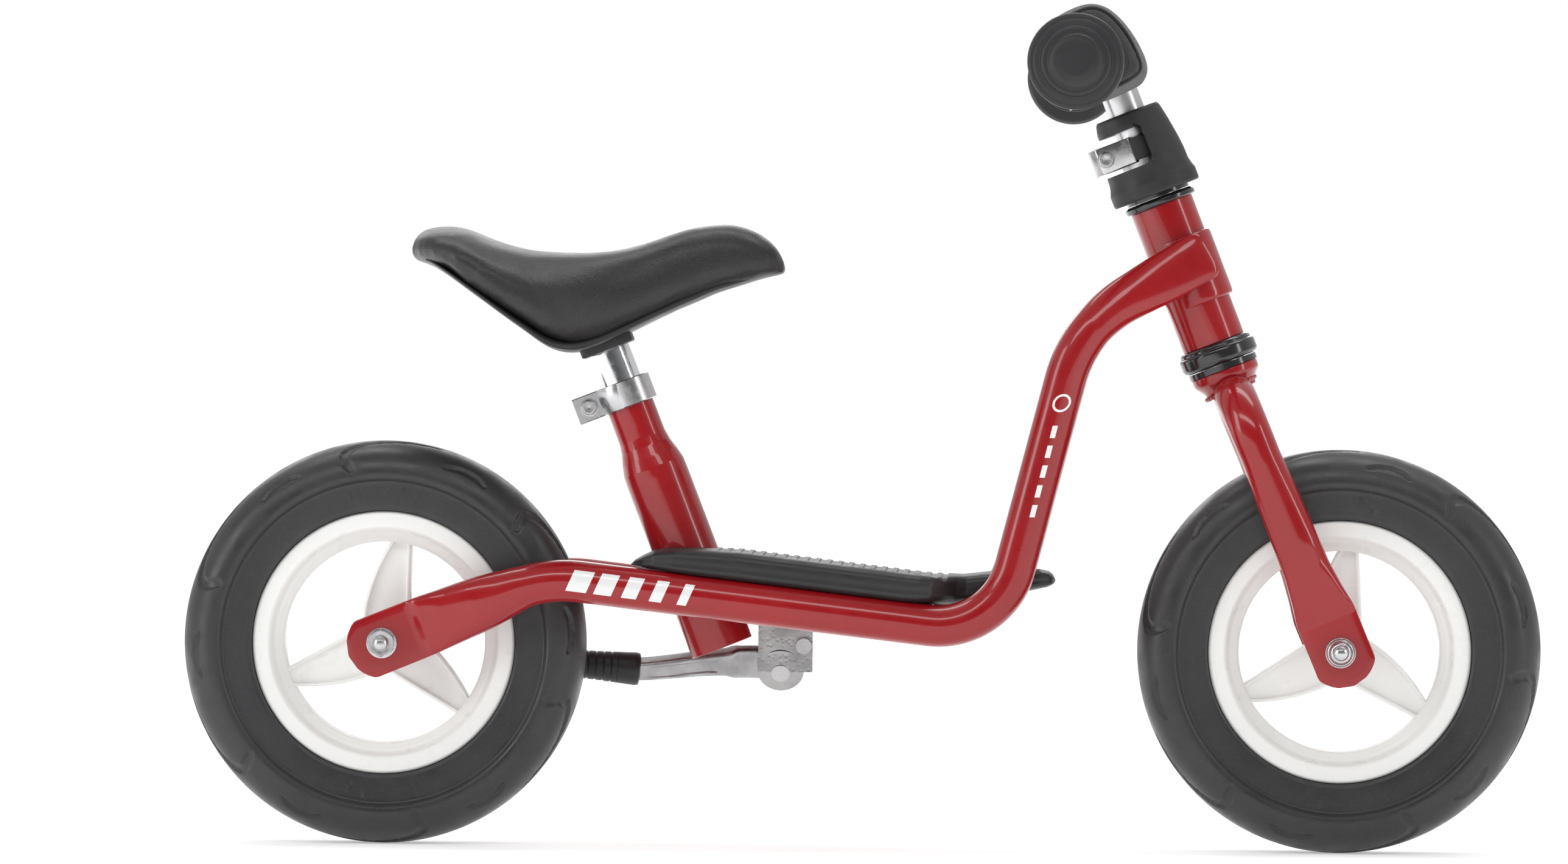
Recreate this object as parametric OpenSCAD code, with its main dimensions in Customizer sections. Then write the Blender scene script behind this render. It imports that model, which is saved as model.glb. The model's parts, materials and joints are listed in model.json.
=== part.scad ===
/* [Wheels] */
// Distance between the two axles
wheelbase = 509; // [440:1:620]
// Outer radius of each tyre
tyre_r = 107.5; // [95:0.5:130]
// Width of each tyre at its widest
tyre_w = 50; // [40:0.5:60]
// Radius of the rim over its flanges
rim_r = 70; // [64:0.5:76]
// Width of the rim over its flanges
rim_w = 38; // [32:0.5:44]
// Radius of the open middle of the rim
rim_open_r = 53.5; // [48:0.5:56]
// Number of spokes in each wheel
spokes = 3; // [3:1:5]
// Diameter of the axle bolts
axle_d = 8; // [6:0.1:10]

/* [Frame] */
// Outer diameter of the two main tubes
tube_d = 22.2; // [18:0.1:27]
// Wall of the main tubes, fork blades and bridges
tube_wall = 1.5; // [1:0.1:2.5]
// Gap between a main tube and the widest part of the tyre
stay_gap = 3.9; // [3:0.1:8]
// Gap between the tyre and the inner face of a flattened tube end
plate_gap = 5; // [4:0.1:9]
// Thickness of the flattened tube ends that hold the axles
plate_t = 4.5; // [3:0.1:6]
// Height of the flattened tube ends
plate_h = 32.4; // [28:0.2:38]
// Lean of the head tube from upright, in degrees
head_lean = 21.3; // [16:0.1:25]
// Length of the head tube
head_len = 79; // [70:0.5:96]
// Wall of the head tube
head_wall = 2; // [1.5:0.1:3]
// Distance from the front axle to the head tube, along the fork
fork_len = 177; // [165:0.5:215]
// Wall of the sleeve round the head tube that the main tubes join
lug_wall = 2.5; // [2:0.1:4]
// Lean of the seat tube from upright, in degrees
seat_lean = 21.4; // [17:0.1:25]
// Length of the seat tube
seat_tube_len = 151; // [140:0.5:180]
// Outer diameter of the wide lower part of the seat tube
seat_tube_d = 34; // [31:0.1:38]

/* [Footboard] */
// Distance the board runs past each main tube's centre
board_side = 7; // [4:0.5:10]
// Height of the board's tread over the centre of the main tubes
board_top = 27; // [24:0.5:33]

/* [Saddle] */
// Diameter of the seat post
post_d = 22; // [18:0.1:26.4]
// Length of the seat post
post_len = 145; // [136:0.5:146]
// Travel of the seat post in its clamp
seat_travel = 80; // [40:1:80]
// Half width of the saddle at its widest
saddle_half_w = 62; // [50:0.5:75]

/* [Handlebar] */
// Diameter of the stem that slides in the fork
stem_d = 20; // [16:0.1:24]
// Travel of the stem in its clamp
stem_travel = 38; // [20:1:38]
// Height of the handlebar over the foot of the head tube
bar_height = 162.6; // [155:0.5:180]
// Width over the grips
bar_w = 330; // [290:1:400]
// Diameter of the crossbar
bar_d = 22.2; // [18:0.1:26]
// Diameter of the safety disc at the end of each grip
disc_d = 50.5; // [42:0.5:60]
// Length of each grip
grip_len = 92; // [80:1:110]

/* [Kickstand] */
// Length of the kickstand from its pivot to the tip of its foot
stand_len = 118; // [100:1:118]
// Tilt of the pivot bolt from level, in degrees
stand_tilt = 30; // [20:1:35]

/* [Fits] */
// Radial clearance of parts that turn or slide in each other
run_gap = 0.05; // [0.02:0.01:0.09]
// Gap between faces of parts that move past each other
face_gap = 0.4; // [0.3:0.05:0.8]

/* [Hidden] */

$fn = 64;
red = "#a81419";
rubber_black = "#2b2b2d";
plastic_black = "#222224";
zinc = "#c9c9cb";
white = "#f2f2ee";
over = 1;                 // how far a cutting shape runs past what it cuts
seat_gap = 0.02;          // gap of parts that are pressed or bolted together

// Wheels and their axles
rear_x = -wheelbase / 2;
front_x = wheelbase / 2;
axle_z = tyre_r;
axle_r = axle_d / 2;
hub_half = 20;            // half the width of the hub
bearing_r = axle_r + 7;
bearing_w = 7;
hub_r = bearing_r + 4;
plate_y = tyre_w / 2 + plate_gap;          // inner face of the axle plates
washer_t = 1.6;
washer_r = axle_r + 4.1;
nut_t = 6.5;
nut_af = axle_d * 1.625;
bolt_out = 4;             // length of axle that stands out of each nut
axle_half = plate_y + plate_t + washer_t + nut_t + bolt_out;

// Main tubes, as places beside the rear axle and beside the foot of the head tube
tube_r = tube_d / 2;
stay_y = tyre_w / 2 + stay_gap + tube_r;
run_rear = [rear_x + 87.5, axle_z + 35.8];
run_front = [front_x - 181.9, axle_z + 8.3];
run_dir = (run_front - run_rear) / norm(run_front - run_rear);
run_slope = atan2(-run_dir[1], run_dir[0]);
run_len = norm(run_front - run_rear);
plate_mid = plate_y + plate_t / 2;
plate_end_r = plate_h / 2 + 2.6;

// Bridges and footboard, measured along the main tubes from their rear corner
bridge_x = 76;
bridge_r = 11;
front_bridge_x = run_len - 38;
front_bridge_r = 8;
board_end = run_len + 27;
board_low = 9;
board_half = stay_y + board_side;
board_neck = stay_y - tube_r - 1.2;       // half width where it passes between the tubes
board_gap = 0.15;         // gap between the board and the tubes that it lies on
screw_y = 18;
screw_r = 2.5;

// Head tube and the fork in it
rake = 4.4;               // the front axle lies this far ahead of the steering axis
head_foot = [front_x - rake - (fork_len - 1.5) * sin(head_lean), axle_z + (fork_len - 1.5) * cos(head_lean)];
stem_r = stem_d / 2;
steerer_r = stem_r + run_gap + 2.65;
head_in_r = steerer_r + 2.3;
head_r = head_in_r + head_wall;
lug_r = head_r + lug_wall;
cup_h = 11.5;
crown_top = -cup_h - face_gap - 3;
blade_top = fork_len - 30;                 // height of the blades' shoulders over the axle
blade_y = tyre_w / 2 + 2.4 + tube_r;
fork_angle = head_lean + 1.45;
cover_z = head_len + 6.4;
cover_h = 46;
cover_foot_r = steerer_r + 11.3;
cover_top_r = stem_r + 7.8;
cover_wall = 3.8;
crown_half = steerer_r + 0.2;
clamp_z = head_len + 24.5;
clamp_h = 14;
clamp_slit = 2.8;
clamp_ear_t = 4.2;
clamp_bolt_r = 2.5;
clamp_bolt_in = 7.4;      // distance of the clamp bolt from the ends of the ears
bar_ear = steerer_r + 14.8;
steerer_top = clamp_z + clamp_h + 0.5;

// Seat tube, seat post and saddle
post_r = post_d / 2;
seat_top_r = post_r + run_gap + 1.65;
seat_tube_r = seat_tube_d / 2;
seat_wall = 1.5;
seat_foot = [rear_x + 180, axle_z - 1.5];
seat_band_z = seat_tube_len - 13;
seat_ear = seat_top_r + 15.3;
saddle_z = 170.3;         // along the seat tube, where the saddle's clamp plate starts
post_foot = 28;

// Handlebar
bar_r = bar_d / 2;
bar_back = 17.8;          // the crossbar lies this far behind the stem's axis
stem_foot = 45;
grip_r = bar_r + 4.4;

// Kickstand
pivot = [rear_x + 210.5, stay_y + 1, axle_z - 10];
pivot_r = 3;
knuckle_r = 9.5;
knuckle_half = 4;
stand_fold = 112;         // turn from folded back to standing
foot_len = 42;
leg_in = 8;               // depth of the leg in its rubber foot
housing_half = 9;
stand_bolt_r = 2.5;

function unit(v) = v / norm(v);
function xyz(p, y) = [p[0], y, p[1]];
function rounded(a, p, b, r, n) =
  // points of the arc of radius r that rounds the corner p between a and b
  let (u = unit(a - p), v = unit(b - p), half = acos(u * v) / 2,
       c = p + unit(u + v) * r / sin(half), s = p + u * r / tan(half) - c,
       e = p + v * r / tan(half) - c, x = unit(s), y = unit(e - x * (e * x)), turn = 180 - 2 * half)
  [for (i = [0 : n]) c + r * (cos(turn * i / n) * x + sin(turn * i / n) * y)];
function between(a, b, n) = [for (i = [1 : n - 1]) a + (b - a) * i / n];
function distance(path, i) = i == 0 ? 0 : distance(path, i - 1) + norm(path[i] - path[i - 1]);
function bulge(c, k) = sign(c) * pow(abs(c), 2 / k);
function wall_ring(path, i, high, wide, square, sides, broad) =
  // one section of a flattened tube: high along broad, or in the upright plane, and wide across it
  let (t = unit(path[min(i + 1, len(path) - 1)] - path[max(i - 1, 0)]),
       n = is_undef(broad) ? cross(unit([0, 1, 0] - t * t[1]), t) : broad, b = cross(t, n),
           turn = 360 / sides)
  [for (j = [0 : sides - 1])
    path[i] + n * high * bulge(cos(turn * j), square) + b * wide * bulge(sin(turn * j), square)];

// A tube along a path, whose half height and half width follow tables of distance along it
module swept(path, high, wide, square, sides = 20, inset = 0, broad = undef) {
  n = len(path);
  points = [for (i = [0 : n - 1])
    let (s = distance(path, i))
    each wall_ring(path, i, lookup(s, high) - inset, lookup(s, wide) - inset, lookup(s, square), sides,
        broad)];
  walls = [for (i = [0 : n - 2], j = [0 : sides - 1])
    let (k = (j + 1) % sides, a = i * sides, b = a + sides)
    each [[a + j, b + j, b + k], [a + j, b + k, a + k]]];
  start = [for (j = [1 : sides - 2]) [0, j, j + 1]];
  end = [for (j = [1 : sides - 2]) let (a = (n - 1) * sides) [a, a + j + 1, a + j]];
  polyhedron(points, concat(walls, start, end));
}

module at_axle(x) { translate([x, 0, axle_z]) rotate([-90, 0, 0]) children(); }
module head_frame() { translate([head_foot[0], 0, head_foot[1]]) rotate([0, -head_lean, 0]) children(); }
module seat_frame() { translate([seat_foot[0], 0, seat_foot[1]]) rotate([0, -seat_lean, 0]) children(); }
module run_frame() { translate([run_rear[0], 0, run_rear[1]]) rotate([0, run_slope, 0]) children(); }
module stand_frame() { translate(pivot) rotate([stand_tilt - 90, 0, 0]) children(); }
module across(y0, y1, r) { translate([0, y0, 0]) rotate([-90, 0, 0]) cylinder(r = r, h = y1 - y0); }
module ring(r_in, r_out, h) {
  difference() {
    cylinder(r = r_out, h = h);
    translate([0, 0, -over]) cylinder(r = r_in, h = h + 2 * over);
  }
}
module hexagon(af, h) { cylinder(r = af / sqrt(3), h = h, $fn = 6); }

// ---- Frame

head_turn = [head_foot[0] - 71.5, head_foot[1] + 8.9];    // corner of the tubes under the head tube
head_join = [head_foot[0] - 15.7, head_foot[1] + 41.2];
// The flattened end is round about the axle, so its half height falls off past the axle
end_steps = [plate_end_r - 0.02, plate_end_r - 0.5, plate_end_r - 2, plate_end_r - 4.5, 9];
end_s = end_steps[0];     // distance from the rounded end's tip to the axle
plate_round = [for (d = end_steps) [end_s - d, min(plate_h / 2, sqrt(plate_end_r * plate_end_r - d * d))]];
main_points = let (
    plate = xyz([rear_x, axle_z], plate_mid), rise = xyz(run_rear, stay_y), low = xyz(run_front, stay_y),
    high = xyz(head_turn, stay_y - 1.5), join = xyz(head_join, lug_r + 4.4),
    back = unit([(rise - plate)[0], 0, (rise - plate)[2]]), neck = plate + 22 * back,
    first = rounded(neck, rise, low, 70, 4), second = rounded(rise, low, high, 42, 8),
    third = rounded(low, high, join, 70, 7))
  concat([for (d = end_steps) plate - back * d], [plate, neck], between(neck, first[0], 8), first,
      second, third,
         between(third[7], join, 4), [join, join + unit(join - high) * 14]);
main_len = distance(main_points, len(main_points) - 1);
hollow_from = 11;
hollow_s = distance(main_points, hollow_from);
main_high = [each plate_round, [end_s + 26, plate_h / 2 - 0.2], [end_s + 60, 14.5], [end_s + 84, tube_r],
    [main_len - 75, tube_r],
             [main_len - 30, 13.5], [main_len, 13.5]];
main_wide = [[0, plate_t / 2], [end_s + 22, plate_t / 2], [end_s + 34, 6], [end_s + 55, 9.2],
    [end_s + 84, tube_r], [main_len - 75, tube_r],
             [main_len - 34, 6.5], [main_len - 14, 4.3], [main_len, 3.2]];
main_square = [[0, 7], [end_s + 22, 7], [end_s + 44, 3], [end_s + 70, 2], [main_len - 60, 2],
    [main_len - 20, 3], [main_len, 3]];

module main_tube() {
  difference() {
    swept(main_points, main_high, main_wide, main_square);
    swept([for (i = [hollow_from : len(main_points) - 1]) main_points[i]],
        [for (p = main_high) p - [hollow_s, 0]],
          [for (p = main_wide) p - [hollow_s, 0]], [for (p = main_square) p - [hollow_s, 0]], 12, tube_wall);
    at_axle(rear_x) cylinder(r = axle_r + seat_gap, h = 2 * plate_y);
    head_frame() translate([0, 0, -over]) cylinder(r = lug_r, h = head_len);
  }
}
module main_tube_left() { color(red) main_tube(); }
module main_tube_right() { color(red) mirror([0, 1, 0]) main_tube(); }

module head_tube() { color(red) head_frame() ring(head_in_r, head_r, head_len); }

module head_lug() {
  lug_low = 22;
  lug_high = 59;
  color(red) head_frame() translate([0, 0, lug_low]) ring(head_r + seat_gap, lug_r, lug_high - lug_low);
}

module seat_tube() {
  swage = 104;
  neck = 119;
  color(red) seat_frame() difference() {
    rotate_extrude() polygon([
      [seat_tube_r - seat_wall, 0], [seat_tube_r, 0], [seat_tube_r, swage], [seat_top_r, neck],
      [seat_top_r, seat_tube_len], [post_r + run_gap, seat_tube_len], [post_r + run_gap, neck - 2],
      [seat_tube_r - seat_wall, swage - 2]]);
    translate([-2 * seat_top_r, -1, neck + 4]) cube([2 * seat_top_r, 2, seat_tube_len]);
  }
}

module seat_bridge() {
  color(red) difference() {
    run_frame() translate([bridge_x, 0, 0]) across(0, stay_y, bridge_r);
    seat_frame() translate([0, 0, -over]) cylinder(r = seat_tube_r, h = seat_tube_len);
    run_frame() translate([-over, stay_y, 0]) rotate([0, 90, 0]) cylinder(r = tube_r, h = run_len);
  }
}
module seat_bridge_left() { seat_bridge(); }
module seat_bridge_right() { mirror([0, 1, 0]) seat_bridge(); }

module front_bridge() {
  color(red) difference() {
    run_frame() translate([front_bridge_x, 0, 0]) across(-stay_y, stay_y, front_bridge_r);
    for (side = [-1, 1])
      run_frame() translate([-over, side * stay_y, 0]) rotate([0, 90, 0]) cylinder(r = tube_r, h = run_len);
    for (side = [-1, 1])
      run_frame() translate([front_bridge_x, side * screw_y, -2 * bridge_r])
        cylinder(r = screw_r, h = 4 * bridge_r);
  }
}

// ---- Footboard, in the frame of the main tubes' long run

module board_profile() {
  rotate([90, 0, 0]) linear_extrude(2 * board_half, center = true) polygon([
    [43, 11.6], [47, 17], [53, 21.5], [62, 24], [80, board_top - 1.6], [100, board_top],
    [run_len - 40, board_top], [run_len - 22, board_top + 1.4], [run_len, board_top + 6.5],
    [board_end - 8, board_top + 9], [board_end - 2, board_top + 8], [board_end, board_top + 4.5],
    [board_end - 3, board_top + 0.6], [board_end - 14, board_top - 3], [run_len - 12, board_low + 6],
    [run_len - 26, board_low + 3], [run_len - 52, board_low], [78, board_low], [58, 10]]);
}
module board_plan() {
  translate([0, 0, -over]) linear_extrude(60) offset(r = 9) offset(delta = -9) polygon([
    [43, -24], [50, -board_half + 3], [66, -board_half], [run_len - 40, -board_half],
    [run_len - 22, -board_neck],
    [board_end, -board_neck], [board_end, board_neck], [run_len - 22, board_neck], [run_len - 40, board_half],
    [66, board_half], [50, board_half - 3], [43, 24]]);
}
module footboard() {
  color(plastic_black) difference() {
    run_frame() intersection() { board_profile(); board_plan(); }
    for (side = [-1, 1])
      run_frame() translate([-over, side * stay_y, 0]) rotate([0, 90, 0])
        cylinder(r = tube_r + board_gap, h = run_len + 40);
    seat_frame() cylinder(r = seat_tube_r + 2 * board_gap, h = seat_tube_len);
    run_frame() translate([bridge_x, 0, 0]) across(-stay_y, stay_y, bridge_r + board_gap);
    for (side = [-1, 1])
      run_frame() translate([front_bridge_x, side * screw_y, 0]) cylinder(r = screw_r, h = 18);
    for (side = [-1, 1]) front_bend_cut(side);
  }
}
// Room for the main tubes where they turn up past the board
module front_bend_cut(side) {
  cut_r = tube_r + 2 * board_gap;
  mirror([0, side > 0 ? 0 : 1, 0])
    swept([for (i = [hollow_from + 9 : hollow_from + 22]) main_points[i]], [[0, cut_r], [1, cut_r]],
          [[0, cut_r], [1, cut_r]], [[0, 2], [1, 2]]);
}
module board_screw(side) {
  head_h = 3;
  color(zinc) run_frame() translate([front_bridge_x, side * screw_y, -front_bridge_r - head_h]) {
    cylinder(r = screw_r * 1.9, h = head_h);
    cylinder(r = screw_r - seat_gap, h = front_bridge_r + head_h + 17);
  }
}
module board_screw_left() { board_screw(1); }
module board_screw_right() { board_screw(-1); }

// ---- Headset

module lower_headset_cup() {
  color(plastic_black) head_frame() rotate_extrude() polygon([
    [steerer_r + run_gap, -cup_h], [19.5 + steerer_r - 12.7, -cup_h], [steerer_r + 8.3, -cup_h + 1.5],
    [steerer_r + 8.3, -4], [steerer_r + 7, -1.5], [steerer_r + 5.3, 0], [head_in_r - seat_gap, 0],
    [head_in_r - seat_gap, 8], [steerer_r + run_gap, 8]]);
}
module upper_headset_cup() {
  color(plastic_black) head_frame() translate([0, 0, head_len]) rotate_extrude() polygon([
    [steerer_r + run_gap, -8], [head_in_r - seat_gap, -8], [head_in_r - seat_gap, 0], [steerer_r + 5.9, 0],
    [steerer_r + 6.6, 1], [steerer_r + 6.6, 3], [steerer_r + 5.4, 4.2], [steerer_r + run_gap, 4.2]]);
}
module crown_race() {
  color(plastic_black) head_frame() translate([0, 0, crown_top])
    ring(steerer_r + seat_gap, steerer_r + 6.2, 3);
}
module top_race() {
  color(plastic_black) head_frame() translate([0, 0, head_len + 4.2 + face_gap])
    ring(steerer_r + seat_gap, steerer_r + 4.6, 4.4);
}

// ---- Clamps: a split band with two ears behind it and a bolt across them

module clamp_band(r_in, band, h, ear_end) {
  difference() {
    union() {
      cylinder(r = r_in + band, h = h);
      for (side = [-1, 1])
        translate([-ear_end, side > 0 ? clamp_slit / 2 : -clamp_slit / 2 - clamp_ear_t, 0])
          cube([ear_end - r_in + 1, clamp_ear_t, h]);
    }
    translate([0, 0, -over]) cylinder(r = r_in, h = h + 2 * over);
    translate([-ear_end - over, -clamp_slit / 2, -over]) cube([ear_end, clamp_slit, h + 2 * over]);
    translate([-ear_end + clamp_bolt_in, -20, h / 2]) across(0, 40, clamp_bolt_r + seat_gap);
  }
}
module clamp_bolt(h, ear_end) {
  // its head is on the right and its nut on the left
  head_y = clamp_slit / 2 + clamp_ear_t;
  translate([-ear_end + clamp_bolt_in, 0, h / 2]) rotate([90, 0, 0]) {
    difference() {
      union() {
        translate([0, 0, head_y]) cylinder(r = 4.7, h = 1);
        translate([0, 0, head_y + 1]) cylinder(r = 4.1, h = 4);
      }
      translate([0, 0, head_y + 2.4]) cylinder(r = 2.4, h = 4, $fn = 6);
    }
    translate([0, 0, -11]) cylinder(r = clamp_bolt_r, h = 17);
  }
}
module clamp_nut(h, ear_end) {
  nut_h = 4.1;
  back = clamp_slit / 2 + clamp_ear_t + nut_h;
  translate([-ear_end + clamp_bolt_in, 0, h / 2]) rotate([90, 0, 0]) translate([0, 0, -back]) difference() {
    hexagon(8, nut_h);
    translate([0, 0, -over]) cylinder(r = clamp_bolt_r + seat_gap, h = 7);
  }
}
module seat_clamp() {
  color(zinc) seat_frame() translate([0, 0, seat_band_z]) clamp_band(seat_top_r, 2.55, clamp_h, seat_ear);
}
module seat_clamp_bolt() {
  color(zinc) seat_frame() translate([0, 0, seat_band_z]) clamp_bolt(clamp_h, seat_ear);
}
module seat_clamp_nut() {
  color(zinc) seat_frame() translate([0, 0, seat_band_z]) clamp_nut(clamp_h, seat_ear);
}

// ---- Seat

module seat_post() {
  color(zinc) seat_frame() translate([0, 0, post_foot]) ring(post_r - 1.6, post_r, post_len);
}
module saddle_clamp() {
  color(plastic_black) seat_frame() difference() {
    translate([-post_r - 3.5, -post_r - 6, saddle_z]) cube([2 * post_r + 7, 2 * post_r + 12, 2.8]);
    cylinder(r = post_r + seat_gap, h = post_foot + post_len);
  }
}
// Places along the saddle from its tail to its nose, beside the seat tube's foot
tail = seat_foot[0] - 167.5;
saddle_up = seat_foot[1];
saddle_top = [[0, 208], [2, 218], [7, 222.5], [14, 224], [22, 223.5], [32, 221], [42, 216], [52, 213],
    [62, 210.5],
  [72, 209.5], [92, 209], [102, 209.7], [112, 211], [122, 213.5], [132, 217], [142, 221], [152, 224],
  [162, 226], [170, 226.5], [177, 225.5], [184, 223], [192, 217.5], [197, 211], [200, 201.5]];
saddle_under = [[0, 207], [12, 203.5], [22, 197], [32, 189.5], [42, 182.5], [52, 175], [62, 168], [72, 160.5],
  [77, 158], [85, 156.5], [92, 157.5], [102, 161], [112, 166], [122, 171], [132, 176], [142, 181], [152, 185],
  [162, 190], [172, 193], [182, 196.5], [192, 199.5], [200, 201]];
saddle_wide = [[0, 0.32], [3, 0.5], [8, 0.68], [16, 0.84], [28, 0.95], [44, 1], [60, 0.98], [76, 0.88],
    [92, 0.72],
  [108, 0.57], [124, 0.47], [144, 0.41], [164, 0.38], [180, 0.34], [190, 0.28], [196, 0.2], [200, 0.1]];
saddle_stations = [0, 2, 7, 14, 22, 32, 42, 52, 62, 72, 78, 85, 92, 102, 112, 122, 132, 142, 152, 162,
    170, 177, 184,
  192, 197, 200];
shell_t = 5;
// Rounded sections along the saddle: the cushion, or the tray of the given thickness under it
module saddle_loft(tray) {
  sides = 20;
  rings = [for (s = saddle_stations) let (
      under = lookup(s, saddle_under), top = lookup(s, saddle_top),
      low = tray > 0 ? under : under + min(shell_t, (top - under) / 2),
      high = tray > 0 ? under + min(tray, (top - under) / 2) : top,
      wide = lookup(s, saddle_wide) * saddle_half_w - (tray > 0 ? 2 : 0))
    [for (j = [0 : sides - 1]) let (c = bulge(cos(360 * j / sides), 3), d = bulge(sin(360 * j / sides), 2.6))
      [tail + s, wide * c, saddle_up + (high + low) / 2 + d * (high - low) / 2]]];
  n = len(rings);
  walls = [for (i = [0 : n - 2], j = [0 : sides - 1])
    let (k = (j + 1) % sides, a = i * sides, b = a + sides)
    each [[a + j, b + k, b + j], [a + j, a + k, b + k]]];
  start = [for (j = [1 : sides - 2]) [0, j + 1, j]];
  end = [for (j = [1 : sides - 2]) let (a = (n - 1) * sides) [a, a + j, a + j + 1]];
  polyhedron([for (r = rings) each r], concat(walls, start, end));
}
module saddle_shell() { color(plastic_black) saddle_loft(shell_t); }
module saddle_cover() { color("#252527") saddle_loft(0); }

// ---- Fork

module steerer() {
  foot = -27;
  color(red) head_frame() difference() {
    translate([0, 0, foot]) ring(stem_r + run_gap, steerer_r, steerer_top - foot);
    translate([-2 * steerer_r, -1, clamp_z - 8]) cube([2 * steerer_r, 2, 3 * clamp_h]);
  }
}
module fork_frame() { translate([front_x, 0, axle_z]) rotate([0, -fork_angle, 0]) children(); }
module fork_crown() {
  color(red) difference() {
    union() {
      head_frame() rotate_extrude() polygon([
        [0, -27], [steerer_r + 1.4, -27], [steerer_r + 1.4, -23], [steerer_r + 5.5, -19],
            [steerer_r + 5.5, crown_top],
        [0, crown_top]]);
      fork_frame() translate([0, 0, blade_top]) across(-crown_half, crown_half, tube_r);
    }
    head_frame() translate([0, 0, -27]) cylinder(r = steerer_r, h = 30);
    for (side = [0, 1]) mirror([0, side, 0])
      fork_frame() translate([0, 0, blade_top]) across(crown_half, 2 * crown_half, tube_r + 0.6);
  }
}
blade_points = let (
    top = [0, crown_half, blade_top], shoulder = [0, blade_y, blade_top], knee = [0, blade_y, 62],
    ankle = [0, plate_mid, 27], flat = [0, plate_mid, 20], foot = [0, plate_mid, 0],
    bend = rounded(top, shoulder, knee, blade_y - crown_half - 0.5, 8))
  concat([top], bend, between(bend[8], knee, 4), [knee], between(knee, ankle, 4), [ankle, flat, foot],
         [for (i = [4 : -1 : 0]) foot - [0, 0, end_steps[i]]]);
blade_len = distance(blade_points, len(blade_points) - 1);
axle_s = blade_len - end_s;   // distance along the blade to the axle
blade_high = [[0, tube_r], [axle_s - 112, tube_r - 0.6], [axle_s - 88, 11.7], [axle_s - 48, 12.7],
              [axle_s - 30, 15], [axle_s - 20, plate_h / 2],
                  each [for (i = [4 : -1 : 0]) [blade_len - plate_round[i][0],
              plate_round[i][1]]]];
blade_wide = [[0, tube_r], [axle_s - 110, tube_r - 0.2], [axle_s - 85, 9.4], [axle_s - 50, 7],
              [axle_s - 30, 4], [axle_s - 20, plate_t / 2], [blade_len, plate_t / 2]];
blade_square = [[0, 2], [axle_s - 50, 2], [axle_s - 20, 7], [blade_len, 7]];
module fork_blade() {
  fork_frame() difference() {
    swept(blade_points, blade_high, blade_wide, blade_square, broad = [1, 0, 0]);
    swept([for (i = [0 : 12]) blade_points[i]], blade_high, blade_wide, blade_square, 12, tube_wall, [1,
        0, 0]);
    rotate([-90, 0, 0]) cylinder(r = axle_r + seat_gap, h = 2 * plate_y);
  }
}
module fork_blade_left() { color(red) fork_blade(); }
module fork_blade_right() { color(red) mirror([0, 1, 0]) fork_blade(); }

module steering_cover() {
  shelf = head_len + 4.2 + face_gap + 4.4;          // top of the race that it stands on
  top = cover_z + cover_h;
  hole_r = stem_r + 0.4;
  color(plastic_black) head_frame() difference() {
    rotate_extrude() polygon([
      [cover_foot_r - 2.6, cover_z], [cover_foot_r, cover_z], [cover_foot_r, cover_z + 4],
          [cover_foot_r - 1.8, cover_z + 8],
      [cover_foot_r - 1.8, cover_z + 17], [cover_foot_r - 3.4, cover_z + 28], [cover_top_r + 1.2,
          cover_z + 40],
      [cover_top_r - 0.6, top], [cover_top_r - 3.5, top], [cover_top_r - 4.5, top - 2.4], [hole_r, top - 2.4],
      [hole_r, top - 6], [cover_top_r - 1.6, top - 6], [cover_foot_r - cover_wall - 1.6, cover_z + 28],
      [cover_foot_r - cover_wall, cover_z + 17], [cover_foot_r - cover_wall, shelf + 2],
          [steerer_r + seat_gap, shelf + 2],
      [steerer_r + seat_gap, shelf], [cover_foot_r - cover_wall, shelf]]);
    translate([-2 * cover_foot_r + 5, 0, clamp_z + 10]) rotate([90, 0, 0])
      linear_extrude(3 * cover_foot_r, center = true) offset(r = 4) square([4 * cover_foot_r - 8, 14.5],
          center = true);
  }
}
module bar_clamp() { color(zinc) head_frame() translate([0, 0, clamp_z]) clamp_band(steerer_r, 2.9,
    clamp_h, bar_ear); }
module bar_clamp_bolt() { color(zinc) head_frame() translate([0, 0, clamp_z]) clamp_bolt(clamp_h, bar_ear); }
module bar_clamp_nut() { color(zinc) head_frame() translate([0, 0, clamp_z]) clamp_nut(clamp_h, bar_ear); }

// ---- Axles and what is on them

module axle() {
  // the ends that stand out of the nuts are turned down a little
  end_r = axle_r - 0.3;
  step = axle_half - bolt_out + 0.3;
  color(zinc) rotate_extrude() polygon(concat(
    [[0, -axle_half - 1.5]], [for (a = [20 : 20 : 80]) [end_r * sin(a), -axle_half - 1.5 * cos(a)]],
    [[end_r, -axle_half], [end_r, -step], [axle_r, -step], [axle_r, step], [end_r, step], [end_r, axle_half]],
    [for (a = [80 : -20 : 20]) [end_r * sin(a), axle_half + 1.5 * cos(a)]], [[0, axle_half + 1.5]]));
}
module axle_nut() {
  color(zinc) translate([0, 0, plate_y + plate_t + washer_t]) difference() {
    intersection() { hexagon(nut_af, nut_t); cylinder(r1 = nut_af, r2 = nut_af / 2 + 0.4, h = nut_t); }
    translate([0, 0, -over]) cylinder(r = axle_r + seat_gap, h = nut_t + 2 * over);
  }
}
module cap_nut() {
  // a smooth cup washer's nut with a collar
  color(zinc) translate([0, 0, plate_y + plate_t + washer_t]) rotate_extrude() polygon([
    [axle_r + seat_gap, 0], [washer_r - 1.5, 0], [washer_r - 1.7, 1.2], [axle_r + 2, 2.2], [axle_r + 1.8,
        nut_t - 1],
    [axle_r + 1, nut_t], [axle_r + seat_gap, nut_t]]);
}
module axle_washer() { color(zinc) translate([0, 0, plate_y + plate_t]) ring(axle_r + seat_gap, washer_r,
    washer_t); }
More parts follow.
